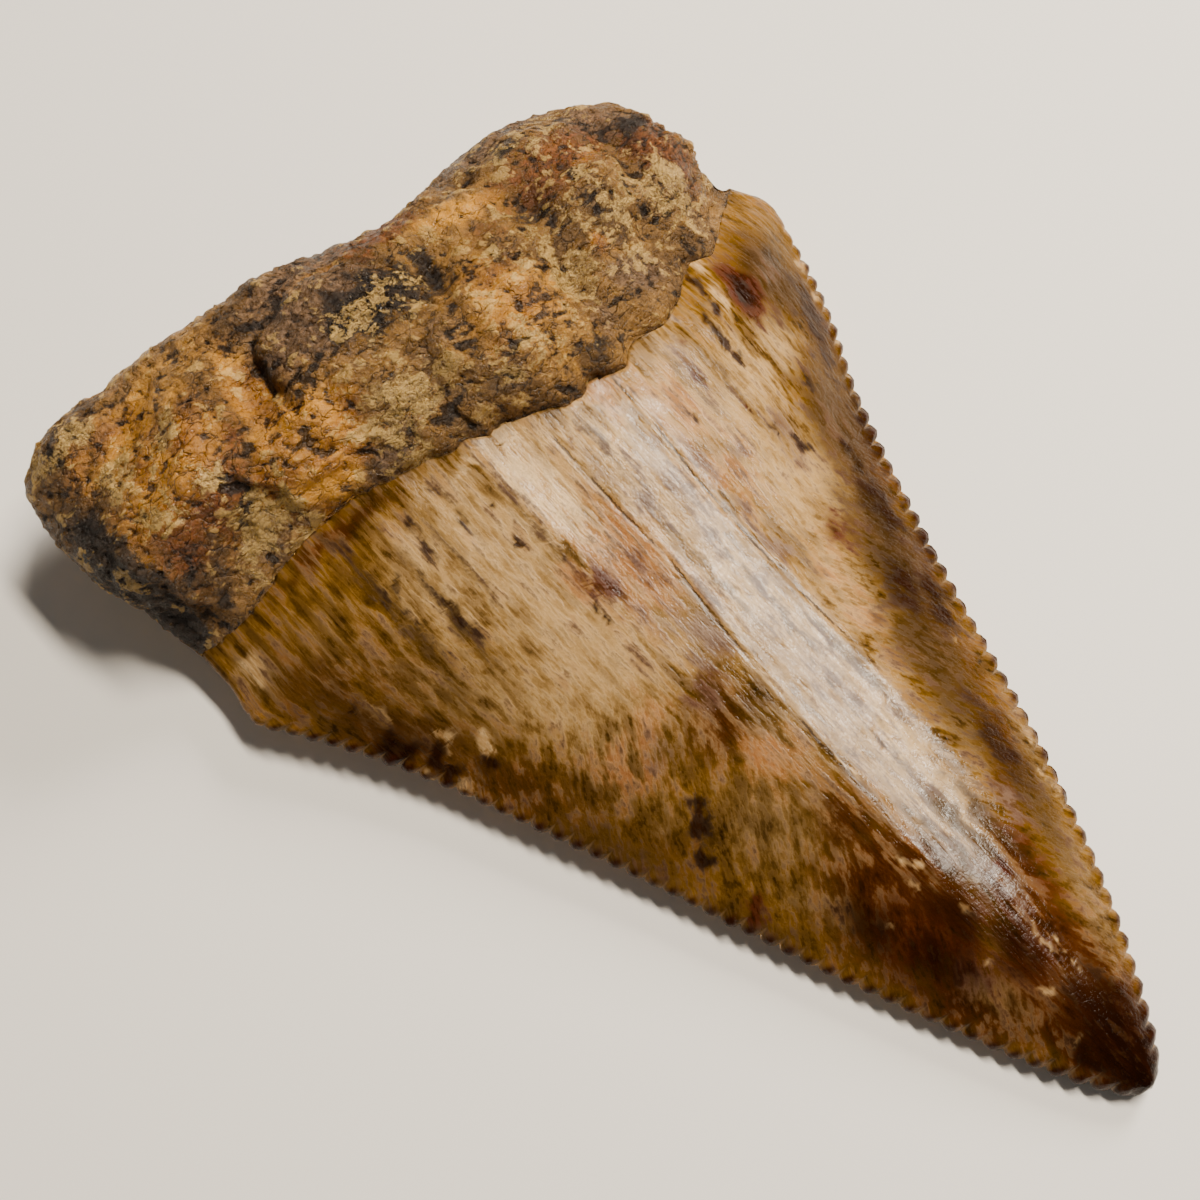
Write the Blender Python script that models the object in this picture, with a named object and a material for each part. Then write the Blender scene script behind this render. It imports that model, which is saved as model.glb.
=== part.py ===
"""Fossil shark tooth, lying on its flatter side with its tip towards -Y.

The tooth is one closed solid. It is lofted from rings that run from the tip, up the crown,
over the ledge where the enamel ends, and round the top of the root. The serrations are part
of the rings: two rings for every serration, one at its knob and one at the notch beside it.
"""
import math

import bmesh
import bpy
import numpy as np
from mathutils import Matrix, Vector, noise

MM = 0.001

# Driving dimensions
CROWN_HEIGHT = 40.0 * MM
CROWN_WIDTH = 36.6 * MM
CROWN_BELLY = 5.2 * MM
CROWN_BACK = 1.7 * MM
ROOT_BELLY = 7.6 * MM
ROOT_BACK = 2.5 * MM
ROOT_RIM_LEVEL = 2.4 * MM
LEDGE = 0.55 * MM
SERRATIONS = 50
KNOB_HEIGHT = 0.28 * MM
LYING_PITCH = math.radians(1.92)
REST_SPOT_DEPTH = 0.30 * MM

# How full a section is: the power of its falling off towards the edges
TIP_FULLNESS = 1.8
BASE_FULLNESS = 2.5
ROOT_ROUNDING = 0.60
ROOT_EVENNESS = 0.40
ROOT_END_DROP = 0.30

# How far up the root its full section, its full height and its closing top begin
FULL_SECTION = 0.36
FULL_HEIGHT = 0.55
CAP_START = 0.62
LEDGE_RISE = 0.02

# How finely the solid is faceted
ROOT_RING = 80
ROOT_WALL_RINGS = 15
ROOT_CAP_RINGS = 12
# Points round a ring of the crown, each count from a share of its height on
CROWN_RINGS = ((0.0, 22), (0.5, 26), (0.91, 44), (0.96, ROOT_RING))
CURVE_STEPS = 24
CURVE_POINTS = 400
SHARP_ANGLE = math.radians(60)

# The outline seen from above, as shares of the crown's half width and of its height
HALF_WIDTH = CROWN_WIDTH / 2
LEFT_EDGE = ((0, 0), (-0.060, 0.017), (-0.180, 0.115), (-0.350, 0.293), (-0.519, 0.493),
             (-0.656, 0.648), (-0.781, 0.780), (-0.874, 0.858), (-0.956, 0.915),
             (-0.995, 0.950), (-0.985, 1.000), (-0.990, 1.052))
RIGHT_EDGE = ((0, 0), (0.055, 0.013), (0.126, 0.058), (0.273, 0.180), (0.426, 0.350),
              (0.574, 0.558), (0.749, 0.768), (0.885, 0.890), (0.967, 0.993),
              (1.003, 1.052), (0.955, 1.100))
LEFT_ROOT_WALL = ((-0.990, 1.052), (-1.010, 1.100), (-1.050, 1.160), (-1.068, 1.240),
                  (-1.060, 1.310), (-0.990, 1.356))
RIGHT_ROOT_WALL = ((0.955, 1.100), (0.885, 1.130), (0.855, 1.175), (0.825, 1.220),
                   (0.745, 1.268))
ROOT_TOP_LINE = ((-0.990, 1.356), (-0.820, 1.355), (-0.650, 1.345), (-0.420, 1.342),
                 (-0.230, 1.330), (-0.080, 1.308), (0.080, 1.294), (0.290, 1.306),
                 (0.440, 1.317), (0.620, 1.300), (0.745, 1.268))

# Where the enamel ends, on the rounded side and on the flatter side
FRONT_ENAMEL_END = ((-0.990, 1.052), (-0.850, 1.035), (-0.600, 1.045), (-0.400, 1.030),
                    (-0.190, 1.000), (-0.060, 0.985), (0.100, 0.955), (0.170, 0.962),
                    (0.240, 0.950), (0.330, 0.972), (0.430, 0.968), (0.540, 0.995),
                    (0.610, 1.020), (0.700, 1.018), (0.800, 1.050), (0.955, 1.100))
BACK_ENAMEL_END = ((-0.990, 1.052), (-0.750, 1.085), (-0.450, 1.125), (-0.100, 1.140),
                   (0.200, 1.135), (0.550, 1.120), (0.955, 1.100))

# The nearly flat strip of the enamel between its two long cracks: level, left and right in mm
FLAT_STRIP = ((17.5, -0.9, 3.65), (30.0, 0.0, 3.4), (38.0, -0.1, 3.9))
STRIP_START = 9.0 * MM
STRIP_FADE = 6.0 * MM

# Bulges and hollows of the root, in mm: x, y, reach across, reach along, lean in degrees,
# height, and how crisp the rim is
ROOT_RELIEF = ((-14.5, 47.0, 3.6, 2.8, -20, 0.80, 2), (-17.3, 52.3, 1.6, 1.6, 0, 0.50, 2),
               (-14.0, 51.0, 2.8, 1.0, -24, -0.55, 2), (-4.6, 47.2, 3.7, 3.3, 0, 0.62, 4),
               (-9.0, 44.2, 2.4, 1.9, 10, 0.60, 2), (-12.6, 43.0, 2.0, 1.3, -10, -0.45, 2),
               (1.4, 42.4, 3.2, 3.7, 0, 0.62, 4), (5.8, 42.4, 0.9, 3.4, 4, -0.75, 2),
               (9.8, 45.4, 2.2, 2.0, 0, 0.75, 4), (8.8, 49.0, 2.8, 1.3, 0, 0.60, 3),
               (13.4, 47.0, 1.7, 1.9, 0, 0.65, 3), (13.0, 44.2, 1.4, 1.4, 0, 0.40, 2),
               (11.9, 46.4, 0.6, 1.9, 10, -0.70, 2), (6.2, 46.6, 1.4, 0.9, 0, -0.70, 2),
               (8.3, 41.2, 1.9, 0.8, 10, -0.45, 2), (0.6, 46.6, 0.8, 1.6, 20, -0.75, 2),
               (3.5, 48.5, 3.0, 0.9, 10, 0.50, 2), (-9.0, 47.6, 1.0, 2.6, 8, -0.50, 2),
               (-2.5, 51.2, 4.0, 0.8, 0, -0.40, 2), (-11.6, 48.6, 1.6, 1.6, 0, 0.35, 2))

# The rough skin of the root: width and height of its lumps in mm
LUMP_SIZE = 3.2
LUMP_HEIGHT = 0.40
LUMP_OCTAVES = 2
LUMP_PLACE = Vector((7.31, -3.77, 5.13))
UNDERSIDE_CALM = 0.7

FOSSIL_BROWN = (0.30, 0.19, 0.10, 1.0)


def ease(value):
    """0 below 0, 1 above 1, and a smooth rise between them."""
    value = np.clip(value, 0, 1)
    return value * value * (3 - 2 * value)


def smooth_line(points, count):
    """Evenly spaced points on a smooth curve through the given ones."""
    knots = np.array(points, dtype=float) * (HALF_WIDTH, CROWN_HEIGHT)
    padded = np.vstack([2 * knots[0] - knots[1], knots, 2 * knots[-1] - knots[-2]])
    step = np.linspace(0, 1, CURVE_STEPS, endpoint=False)[:, None]
    pieces = []
    for i in range(1, len(padded) - 2):
        before, start, end, after = padded[i - 1:i + 3]
        square = 2 * before - 5 * start + 4 * end - after
        cubic = 3 * start - before - 3 * end + after
        pieces.append(start + 0.5 * step * (end - before + step * (square + step * cubic)))
    curve = np.vstack(pieces + [knots[-1:]])
    lengths = np.linalg.norm(np.diff(curve, axis=0), axis=1)
    along = np.concatenate([[0], np.cumsum(lengths)])
    wanted = np.linspace(0, along[-1], count)
    return np.stack([np.interp(wanted, along, curve[:, k]) for k in (0, 1)], axis=1)


def sag_of(points):
    """How far a line lies above its chord, at any share of its width from -1 to 1."""
    line = smooth_line(points, CURVE_POINTS)
    left, right = line[0], line[-1]
    share = 2 * (line[:, 0] - left[0]) / (right[0] - left[0]) - 1
    sag = line[:, 1] - between(left, right, share)[1]
    return lambda across: np.interp(across, share, sag)


def between(left, right, across):
    """Points on the straight line from left, at -1, to right, at 1."""
    part = (across + 1) / 2
    return left[0] + (right[0] - left[0]) * part, left[1] + (right[1] - left[1]) * part


front_sag = sag_of(FRONT_ENAMEL_END)
back_sag = sag_of(BACK_ENAMEL_END)
top_sag = sag_of(ROOT_TOP_LINE)


def ring_angles(count):
    """Angles round a ring: the first half goes over the rounded side, from left to right."""
    return np.linspace(0, 2 * math.pi, count, endpoint=False)


def crown_ring(left, right, share, knob):
    """One ring of the crown, a lens with sharp edges; share is 0 at the tip, 1 at the root."""
    angles = ring_angles(max(count for start, count in CROWN_RINGS if share >= start))
    across = -np.cos(angles)
    front = np.sin(angles) >= 0
    x, y = between(left, right, across)
    y = y + ease((share - 0.55) / 0.45) * np.where(front, front_sag(across), back_sag(across))
    fullness = TIP_FULLNESS + (BASE_FULLNESS - TIP_FULLNESS) * share
    height = np.where(front, CROWN_BELLY * share ** 0.55, -CROWN_BACK * share ** 0.45)
    z = height * (1 - np.abs(across) ** fullness)
    level, strip_left, strip_right = np.array(FLAT_STRIP).T * MM
    start, end = np.interp(y, level, strip_left), np.interp(y, level, strip_right)
    part = (x - start) / (end - start)
    start_z, end_z = (height * (1 - np.abs(2 * (at - left[0]) / (right[0] - left[0]) - 1) ** fullness)
                      for at in (start, end))
    flat = start_z + (end_z - start_z) * part
    inside = front & (part > 0) & (part < 1)
    z = np.where(inside, z + (flat - z) * ease((y - STRIP_START) / STRIP_FADE), z)
    outward = np.sign(across) * knob * np.abs(across) ** 12
    return np.stack([x + outward, y - np.abs(outward) * 0.35, z], axis=1)


def root_ring(left, right, rise, closing):
    """One ring of the root; closing goes from 0 to 1 as the ring shuts along the top line."""
    angles = ring_angles(ROOT_RING)
    cosine, sine = -np.cos(angles), np.sin(angles)
    front = sine >= 0
    full = ease(rise / FULL_SECTION)
    across = cosine + ROOT_EVENNESS * cosine * sine ** 2 * full
    x, y = between(left, right, across)
    start_sag = np.where(front, front_sag(across), back_sag(across))
    y = y + start_sag * (1 - rise) + top_sag(across) * rise
    lens = 1 - np.abs(across) ** BASE_FULLNESS
    box = np.sqrt(1 - across ** 2) ** ROOT_ROUNDING * (1 - ROOT_END_DROP * across ** 2)
    shut = (1 - closing ** 2.6) ** 0.45
    profile = (lens + (box - lens) * full) * shut
    level = ROOT_RIM_LEVEL * ease(rise / 0.35)
    swell = math.sin(math.pi / 2 * min(1.0, rise / FULL_HEIGHT)) ** 0.8
    belly = CROWN_BELLY + LEDGE + (ROOT_BELLY - CROWN_BELLY - LEDGE) * swell
    back = CROWN_BACK + (ROOT_BACK - CROWN_BACK) * full
    z = level + np.where(front, belly - level, -back - level) * profile
    return np.stack([x, y, z], axis=1)


def crown_rings():
    """Rings from just above the tip to the end of the enamel, two for each serration."""
    steps = 2 * SERRATIONS
    left = smooth_line(LEFT_EDGE, steps + 1)
    right = smooth_line(RIGHT_EDGE, steps + 1)
    rings = []
    for k in range(1, steps + 1):
        share = k / steps
        strength = ease(share / 0.06) * (1 - ease((share - 0.86) / 0.10))
        knob = KNOB_HEIGHT * strength * (0.5 if k % 2 else -0.5)
        rings.append(crown_ring(left[k], right[k], share, knob))
    return rings


def root_rings():
    """Rings from the ledge to the top of the root, closer together where the top closes."""
    left = smooth_line(LEFT_ROOT_WALL, CURVE_POINTS + 1)
    right = smooth_line(RIGHT_ROOT_WALL, CURVE_POINTS + 1)
    wall = np.linspace(LEDGE_RISE, CAP_START, ROOT_WALL_RINGS, endpoint=False)
    turn = np.linspace(0, math.pi / 2, ROOT_CAP_RINGS, endpoint=False)
    cap = CAP_START + (1 - CAP_START) * np.sin(turn)
    rings = []
    for rise in np.concatenate([wall, cap]):
        at = int(round(rise * CURVE_POINTS))
        closing = max(0.0, (rise - CAP_START) / (1 - CAP_START))
        rings.append(root_ring(left[at], right[at], rise, closing))
    return rings


def root_top():
    """The line along which the last ring shuts, with a point for each pair of its points."""
    angles = np.linspace(0, math.pi, ROOT_RING // 2 + 1)
    across = -np.cos(angles) * (1 + ROOT_EVENNESS * np.sin(angles) ** 2)
    line = smooth_line(ROOT_TOP_LINE, CURVE_POINTS)
    x, y = between(line[0], line[-1], across)
    return np.stack([x, y + top_sag(across), np.full_like(x, ROOT_RIM_LEVEL)], axis=1)


def stitch(mesh, lower, upper):
    """A strip of triangles between two closed rings that may have different counts."""
    i = j = 0
    while i < len(lower) or j < len(upper):
        a, b = lower[i % len(lower)], upper[j % len(upper)]
        if j == len(upper) or (i + 1) / len(lower) <= (j + 1) / len(upper):
            i += 1
            mesh.faces.new((a, lower[i % len(lower)], b))
        else:
            j += 1
            mesh.faces.new((a, upper[j % len(upper)], b))


def build_tooth():
    """The whole tooth as one closed mesh, with the vertices of the root marked."""
    mesh = bmesh.new()
    on_root = mesh.verts.layers.float.new("on_root")
    crown = [[mesh.verts.new(point) for point in ring] for ring in crown_rings()]
    root = [[mesh.verts.new(point) for point in ring] for ring in root_rings()]
    top = [mesh.verts.new(point) for point in root_top()]
    tip = mesh.verts.new((0, 0, 0))
    for i, vertex in enumerate(crown[0]):
        mesh.faces.new((tip, crown[0][(i + 1) % len(crown[0])], vertex))
    loops = crown + root
    for lower, upper in zip(loops, loops[1:]):
        stitch(mesh, lower, upper)
    shut = top + top[-2:0:-1]
    for i, vertex in enumerate(root[-1]):
        j = (i + 1) % ROOT_RING
        mesh.faces.new((vertex, root[-1][j], shut[i]))
        mesh.faces.new((root[-1][j], shut[j], shut[i]))
    for loop in root + [top]:
        for vertex in loop:
            vertex[on_root] = 1.0
    bmesh.ops.recalc_face_normals(mesh, faces=mesh.faces)
    return mesh


def relief_at(x, y):
    """Height of the bulges and hollows of the root's rounded side, in mm."""
    total = 0.0
    for at_x, at_y, wide, long, lean, height, crisp in ROOT_RELIEF:
        turn = math.radians(lean)
        across = ((x - at_x) * math.cos(turn) - (y - at_y) * math.sin(turn)) / wide
        along = ((x - at_x) * math.sin(turn) + (y - at_y) * math.cos(turn)) / long
        total += height * math.exp(-(across ** 2 + along ** 2) ** (crisp / 2))
    return total


def carve_root(mesh):
    """Push the root's vertices along their normals into bosses, hollows and rough lumps."""
    on_root = mesh.verts.layers.float["on_root"]
    mesh.normal_update()
    moves = []
    for vertex in mesh.verts:
        if vertex[on_root] < 0.5:
            continue
        place = vertex.co / MM
        facing = vertex.normal.z
        push = relief_at(place.x, place.y) * max(0.0, facing)
        calm = 1.0 - UNDERSIDE_CALM * max(0.0, -facing)
        push += LUMP_HEIGHT * calm * noise.fractal(place / LUMP_SIZE + LUMP_PLACE, 1.0, 2.0, LUMP_OCTAVES)
        moves.append((vertex, vertex.normal * push * MM))
    for vertex, move in moves:
        vertex.co += move


def lie_down(mesh):
    """Tip the tooth onto its root and its point, wear a small flat on the root, and centre it."""
    mesh.transform(Matrix.Rotation(LYING_PITCH, 4, "X"))
    floor = min(vertex.co.z for vertex in mesh.verts) + REST_SPOT_DEPTH
    for vertex in mesh.verts:
        vertex.co.z = max(vertex.co.z, floor) - floor
    middle = Vector((0, 0, 0))
    for axis in (0, 1):
        sides = [vertex.co[axis] for vertex in mesh.verts]
        middle[axis] = (min(sides) + max(sides)) / 2
    mesh.transform(Matrix.Translation(-middle))
    return Vector((-middle.x, -middle.y, -floor))


def fossil_material():
    """Brown, half-glossy fossil enamel and bone, as one plain colour for the solid."""
    material = bpy.data.materials.new("fossil_tooth")
    material.use_nodes = True
    shader = material.node_tree.nodes["Principled BSDF"]
    shader.inputs["Base Color"].default_value = FOSSIL_BROWN
    shader.inputs["Roughness"].default_value = 0.45
    shader.inputs["Metallic"].default_value = 0.0
    return material


def finished_object(mesh):
    """Turn the mesh into the named object, smooth but for its sharp edges."""
    data = bpy.data.meshes.new("tooth")
    mesh.to_mesh(data)
    mesh.free()
    data.materials.append(fossil_material())
    data.shade_smooth()
    data.set_sharp_from_angle(angle=SHARP_ANGLE)
    tooth = bpy.data.objects.new("tooth", data)
    bpy.context.scene.collection.objects.link(tooth)
    bpy.context.view_layer.update()
    return tooth


for old in list(bpy.data.objects):
    bpy.data.objects.remove(old, do_unlink=True)

mesh = build_tooth()
carve_root(mesh)
tip_place = lie_down(mesh)
tooth = finished_object(mesh)
print("triangles", len(tooth.data.polygons), "size mm",
      [round(side / MM, 2) for side in tooth.dimensions])
print("tip of the edge plane at mm", [round(value / MM, 2) for value in tip_place])
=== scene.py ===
# %% [markdown]
# A fossil shark tooth, seen close up. The real tooth is one piece with two finishes: a glassy
# crown of enamel with serrated edges, and a rough bony root with hardened sediment on it.
# The plain solid from the CAD model gives the size and the place. This lesson lays a much finer
# mesh over the same form, and then gives the enamel and the bone their colours and their gloss.

# %% Load the frame
import math

import bpy
import numpy as np
from mathutils import Euler, Matrix, Vector, noise


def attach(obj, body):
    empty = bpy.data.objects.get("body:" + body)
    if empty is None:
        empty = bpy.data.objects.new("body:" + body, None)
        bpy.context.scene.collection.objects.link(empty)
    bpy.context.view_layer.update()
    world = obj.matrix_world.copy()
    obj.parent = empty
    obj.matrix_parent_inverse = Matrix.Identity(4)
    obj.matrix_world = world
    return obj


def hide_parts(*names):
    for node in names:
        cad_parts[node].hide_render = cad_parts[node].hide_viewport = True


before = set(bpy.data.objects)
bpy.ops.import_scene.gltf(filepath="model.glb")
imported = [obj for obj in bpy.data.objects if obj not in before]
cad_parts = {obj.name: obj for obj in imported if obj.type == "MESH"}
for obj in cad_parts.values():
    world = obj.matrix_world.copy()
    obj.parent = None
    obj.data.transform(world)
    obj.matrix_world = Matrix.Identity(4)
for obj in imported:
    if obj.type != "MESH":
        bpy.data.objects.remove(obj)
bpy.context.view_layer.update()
MM = 0.001

# %% [markdown]
# The camera comes first, so that every later step can be judged in the picture. The tooth was
# photographed from close by, a little from the tip's left, looking steeply down. A real lens
# that close makes the near end look larger, so the distance matters as much as the angle. It
# could be set by hand in the viewport; here it is a place, a point to look at and a small roll.

# %% Camera
CAMERA_PLACE = (-18.4, -17.7, 71.2)
CAMERA_AIM = (-1.47, 5.14, 0.0)
CAMERA_ROLL = math.radians(-5.71)
LENS = 48
SENSOR_WIDTH = 36

camera = bpy.data.objects.new("camera", bpy.data.cameras.new("camera"))
camera.data.lens = LENS
camera.data.sensor_width = SENSOR_WIDTH
camera.data.clip_start = MM
camera.location = Vector(CAMERA_PLACE) * MM
sight = Vector(CAMERA_AIM) * MM - camera.location
look = sight.to_track_quat("-Z", "Y")
roll = Euler((0, 0, CAMERA_ROLL)).to_quaternion()
camera.rotation_euler = (look @ roll).to_euler()
bpy.context.scene.collection.objects.link(camera)
bpy.context.scene.camera = camera
print("camera looks down by", round(math.degrees(math.asin(-sight.normalized().z)), 1), "degrees")

# %% [markdown]
# The tooth lies on a plain pale floor. Glossy enamel shows a lamp as a mirror would, and the
# bright band along the middle of the tooth is long and narrow, so the main lamp is long and
# narrow too. A second lamp in the same place adds to its gloss alone. A rounder lamp at the
# right and a weak, wide one at the left light the colours but don't show in the gloss. The grey
# world does the rest.

# %% Floor
FLOOR_SIZE = 1.2
FLOOR_TONE = (0.88, 0.83, 0.75, 1.0)
FLOOR_ROUGHNESS = 0.6
FLOOR_DROP = 0.02 * MM

floor_data = bpy.data.meshes.new("floor")
half = FLOOR_SIZE / 2
floor_data.from_pydata([(-half, -half, 0), (half, -half, 0), (half, half, 0), (-half, half, 0)],
                       [], [(0, 1, 2, 3)])
floor = bpy.data.objects.new("floor", floor_data)
floor.location.z = -FLOOR_DROP
bpy.context.scene.collection.objects.link(floor)
floor_finish = bpy.data.materials.new("pale_floor")
floor_finish.use_nodes = True
floor_shader = floor_finish.node_tree.nodes["Principled BSDF"]
floor_shader.inputs["Base Color"].default_value = FLOOR_TONE
floor_shader.inputs["Roughness"].default_value = FLOOR_ROUGHNESS
floor_data.materials.append(floor_finish)


# %% Lamps and world
# Each lamp: name, direction, distance and two sides in metres, watts, tone, lights the colours,
# shows in the gloss
LAMPS = (
    ("window", (0.44, 0, 0.9), 0.3, (0.16, 0.04), 1.42, (1.0, 0.91, 0.79), True, True),
    ("side_window", (0.86, 0.2, 0.5), 0.32, (0.1, 0.1), 1.35, (1.0, 0.94, 0.86), True, False),
    ("soft_fill", (-0.75, 0.25, 0.6), 0.45, (0.3, 0.3), 0.12, (1.0, 0.97, 0.93), True, False),
    ("glint", (0.44, 0, 0.9), 0.3, (0.16, 0.04), 1.3, (1.0, 0.88, 0.72), False, True))
LAMP_TARGET = Vector((0, 0, 3 * MM))
WORLD_TONE = (0.66, 0.65, 0.63, 1)
WORLD_STRENGTH = 0.11


def add_lamp(name, direction, distance, size, watts, tone, diffuse, glossy):
    """A soft lamp with two sides that shines on the middle of the tooth from a direction."""
    light = bpy.data.lights.new(name, "AREA")
    light.shape = "RECTANGLE"
    light.size, light.size_y = size
    light.energy = watts
    light.color = tone
    piece = bpy.data.objects.new(name, light)
    piece.location = LAMP_TARGET + Vector(direction).normalized() * distance
    piece.rotation_euler = (LAMP_TARGET - piece.location).to_track_quat("-Z", "Y").to_euler()
    piece.visible_diffuse = diffuse
    piece.visible_glossy = glossy
    bpy.context.scene.collection.objects.link(piece)


for row in LAMPS:
    add_lamp(*row)
world = bpy.data.worlds.new("grey_room")
world.use_nodes = True
sky = world.node_tree.nodes["Background"]
sky.inputs["Color"].default_value = WORLD_TONE
sky.inputs["Strength"].default_value = WORLD_STRENGTH
bpy.context.scene.world = world
print("lamps", [row[0] for row in LAMPS])

# %% [markdown]
# The outline. A shark tooth is nearly flat, so its outline seen from above says most about it.
# It could be drawn as a curve in the viewport. A short list of points with a smooth line through
# them is easier to check against a real tooth. The points are shares of the crown's half width
# and of its height. The tip is at 0, 0, the root is towards +Y, and the rounded side is +Z.

# %% Outline of the crown and the root
HALF_WIDTH = 18.3
CROWN_HEIGHT = 40.0
LEFT_EDGE = ((0, 0), (-0.060, 0.017), (-0.180, 0.115), (-0.350, 0.293), (-0.519, 0.493),
             (-0.656, 0.648), (-0.781, 0.780), (-0.874, 0.858), (-0.956, 0.915),
             (-0.995, 0.950), (-0.985, 1.000), (-0.990, 1.052))
RIGHT_EDGE = ((0, 0), (0.055, 0.013), (0.126, 0.058), (0.273, 0.180), (0.426, 0.350),
              (0.574, 0.558), (0.749, 0.768), (0.885, 0.890), (0.967, 0.993),
              (1.003, 1.052), (0.955, 1.100))
LEFT_ROOT_WALL = ((-0.990, 1.052), (-1.010, 1.100), (-1.050, 1.160), (-1.068, 1.240),
                  (-1.060, 1.310), (-0.990, 1.356))
RIGHT_ROOT_WALL = ((0.955, 1.100), (0.885, 1.130), (0.855, 1.175), (0.825, 1.220),
                   (0.745, 1.268))
ROOT_TOP_LINE = ((-0.990, 1.356), (-0.820, 1.355), (-0.650, 1.345), (-0.420, 1.342),
                 (-0.230, 1.330), (-0.080, 1.308), (0.080, 1.294), (0.290, 1.306),
                 (0.440, 1.317), (0.620, 1.300), (0.745, 1.268))
FRONT_ENAMEL_END = ((-0.990, 1.052), (-0.850, 1.035), (-0.600, 1.045), (-0.400, 1.030),
                    (-0.190, 1.000), (-0.060, 0.985), (0.100, 0.955), (0.170, 0.962),
                    (0.240, 0.950), (0.330, 0.972), (0.430, 0.968), (0.540, 0.995),
                    (0.610, 1.020), (0.700, 1.018), (0.800, 1.050), (0.955, 1.100))
BACK_ENAMEL_END = ((-0.990, 1.052), (-0.750, 1.085), (-0.450, 1.125), (-0.100, 1.140),
                   (0.200, 1.135), (0.550, 1.120), (0.955, 1.100))


# %% Smooth lines through a few points
CURVE_STEPS = 24
LINE_POINTS = 400


def ease(value):
    """0 below 0, 1 above 1, and a smooth rise between them."""
    value = np.clip(value, 0, 1)
    return value * value * (3 - 2 * value)


def smooth_line(points, count):
    """Evenly spaced points, in mm, on a smooth curve through the given shares."""
    knots = np.array(points, dtype=float) * (HALF_WIDTH, CROWN_HEIGHT)
    padded = np.vstack([2 * knots[0] - knots[1], knots, 2 * knots[-1] - knots[-2]])
    step = np.linspace(0, 1, CURVE_STEPS, endpoint=False)[:, None]
    pieces = []
    for i in range(1, len(padded) - 2):
        before, start, end, after = padded[i - 1:i + 3]
        square = 2 * before - 5 * start + 4 * end - after
        cubic = 3 * start - before - 3 * end + after
        pieces.append(start + 0.5 * step * (end - before + step * (square + step * cubic)))
    curve = np.vstack(pieces + [knots[-1:]])
    along = np.concatenate([[0], np.cumsum(np.linalg.norm(np.diff(curve, axis=0), axis=1))])
    wanted = np.linspace(0, along[-1], count)
    return np.stack([np.interp(wanted, along, curve[:, k]) for k in (0, 1)], axis=1)


def between(left, right, across):
    """Points on the straight line from left, at -1, to right, at 1."""
    part = (across + 1) / 2
    return left[0] + (right[0] - left[0]) * part, left[1] + (right[1] - left[1]) * part


def sag_of(points):
    """How far a line lies above its chord, at any share of its width from -1 to 1."""
    line = smooth_line(points, LINE_POINTS)
    left, right = line[0], line[-1]
    share = 2 * (line[:, 0] - left[0]) / (right[0] - left[0]) - 1
    sag = line[:, 1] - between(left, right, share)[1]
    return lambda across: np.interp(across, share, sag)


front_sag = sag_of(FRONT_ENAMEL_END)
back_sag = sag_of(BACK_ENAMEL_END)
top_sag = sag_of(ROOT_TOP_LINE)
for side_name, edge in (("left", LEFT_EDGE), ("right", RIGHT_EDGE)):
    steps = np.diff(smooth_line(edge, LINE_POINTS), axis=0)
    print(side_name, "edge in mm", round(float(np.linalg.norm(steps, axis=1).sum()), 1))


# %% Two small helpers for uneven nature
def rough(places, size, seed, octaves=1):
    """Smooth noise, about -1 to 1, at each place; size is the width of its lumps in mm."""
    shift = Vector((seed * 7.31, seed * -3.77, seed * 5.13))
    if octaves == 1:
        return np.array([noise.noise(Vector(place) / size + shift) for place in places])
    return np.array([noise.fractal(Vector(place) / size + shift, 1.0, 2.0, octaves)
                     for place in places])


def near_line(x, y, points):
    """Distance in mm from each point to a line through the given points, and the share along."""
    nearest = np.full(x.shape, 1e9)
    share = np.zeros(x.shape)
    for k, ((ax, ay), (bx, by)) in enumerate(zip(points, points[1:])):
        length = (bx - ax) ** 2 + (by - ay) ** 2
        part = np.clip(((x - ax) * (bx - ax) + (y - ay) * (by - ay)) / length, 0, 1)
        gap = np.hypot(x - ax - part * (bx - ax), y - ay - part * (by - ay))
        share = np.where(gap < nearest, (k + part) / (len(points) - 1), share)
        nearest = np.minimum(nearest, gap)
    return nearest, share


# %% [markdown]
# The crown is a lens in section, fuller towards the root, with two sharp edges. Lofting it from
# rings keeps those edges exact. Each ring is drawn finely first, and then given its points at
# even steps along its length, closer together at the edges, where the serrations need them. The
# enamel isn't a smooth lens: two long cracks run down it, the strip between them is nearly flat,
# and near the root it is folded in short grooves.

# %% Section of the crown
CROWN_BELLY = 5.2
CROWN_BACK = 1.7
TIP_FULLNESS = 1.8
BASE_FULLNESS = 2.5
BELLY_RISE = 0.55
BACK_RISE = 0.45
FINE = 1500
# How soon the line across bends to the end of the enamel, as a share of the crown, and turns ragged
SAG_START = 0.55
RAGGED_START = 0.9
RAGGED_LENGTH = 0.1
# The ragged end of the enamel: width and height of its waves in mm, and their place in the noise
RAGGED = ((0.9, 0.30, 0), (0.33, 0.12, 4))
RAGGED_STEP = 5
# The two ridges beside the flat strip: places along the tooth, and places across, in mm
LEFT_RIDGE = ((17.5, 30, 38), (-0.9, 0.0, -0.1))
RIGHT_RIDGE = ((19.5, 28, 38), (3.65, 3.4, 3.9))
RIDGE_SOFTNESS = 0.12
ROOF_SLOPE = 0.095
ROOF_REACH = 4.0
SIDE_RIDGE_PLACE = -3.1
SIDE_RIDGE_HEIGHT = 0.15
SIDE_RIDGE_WIDTH = 0.8
GROOVE_FADE = 0.25
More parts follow.
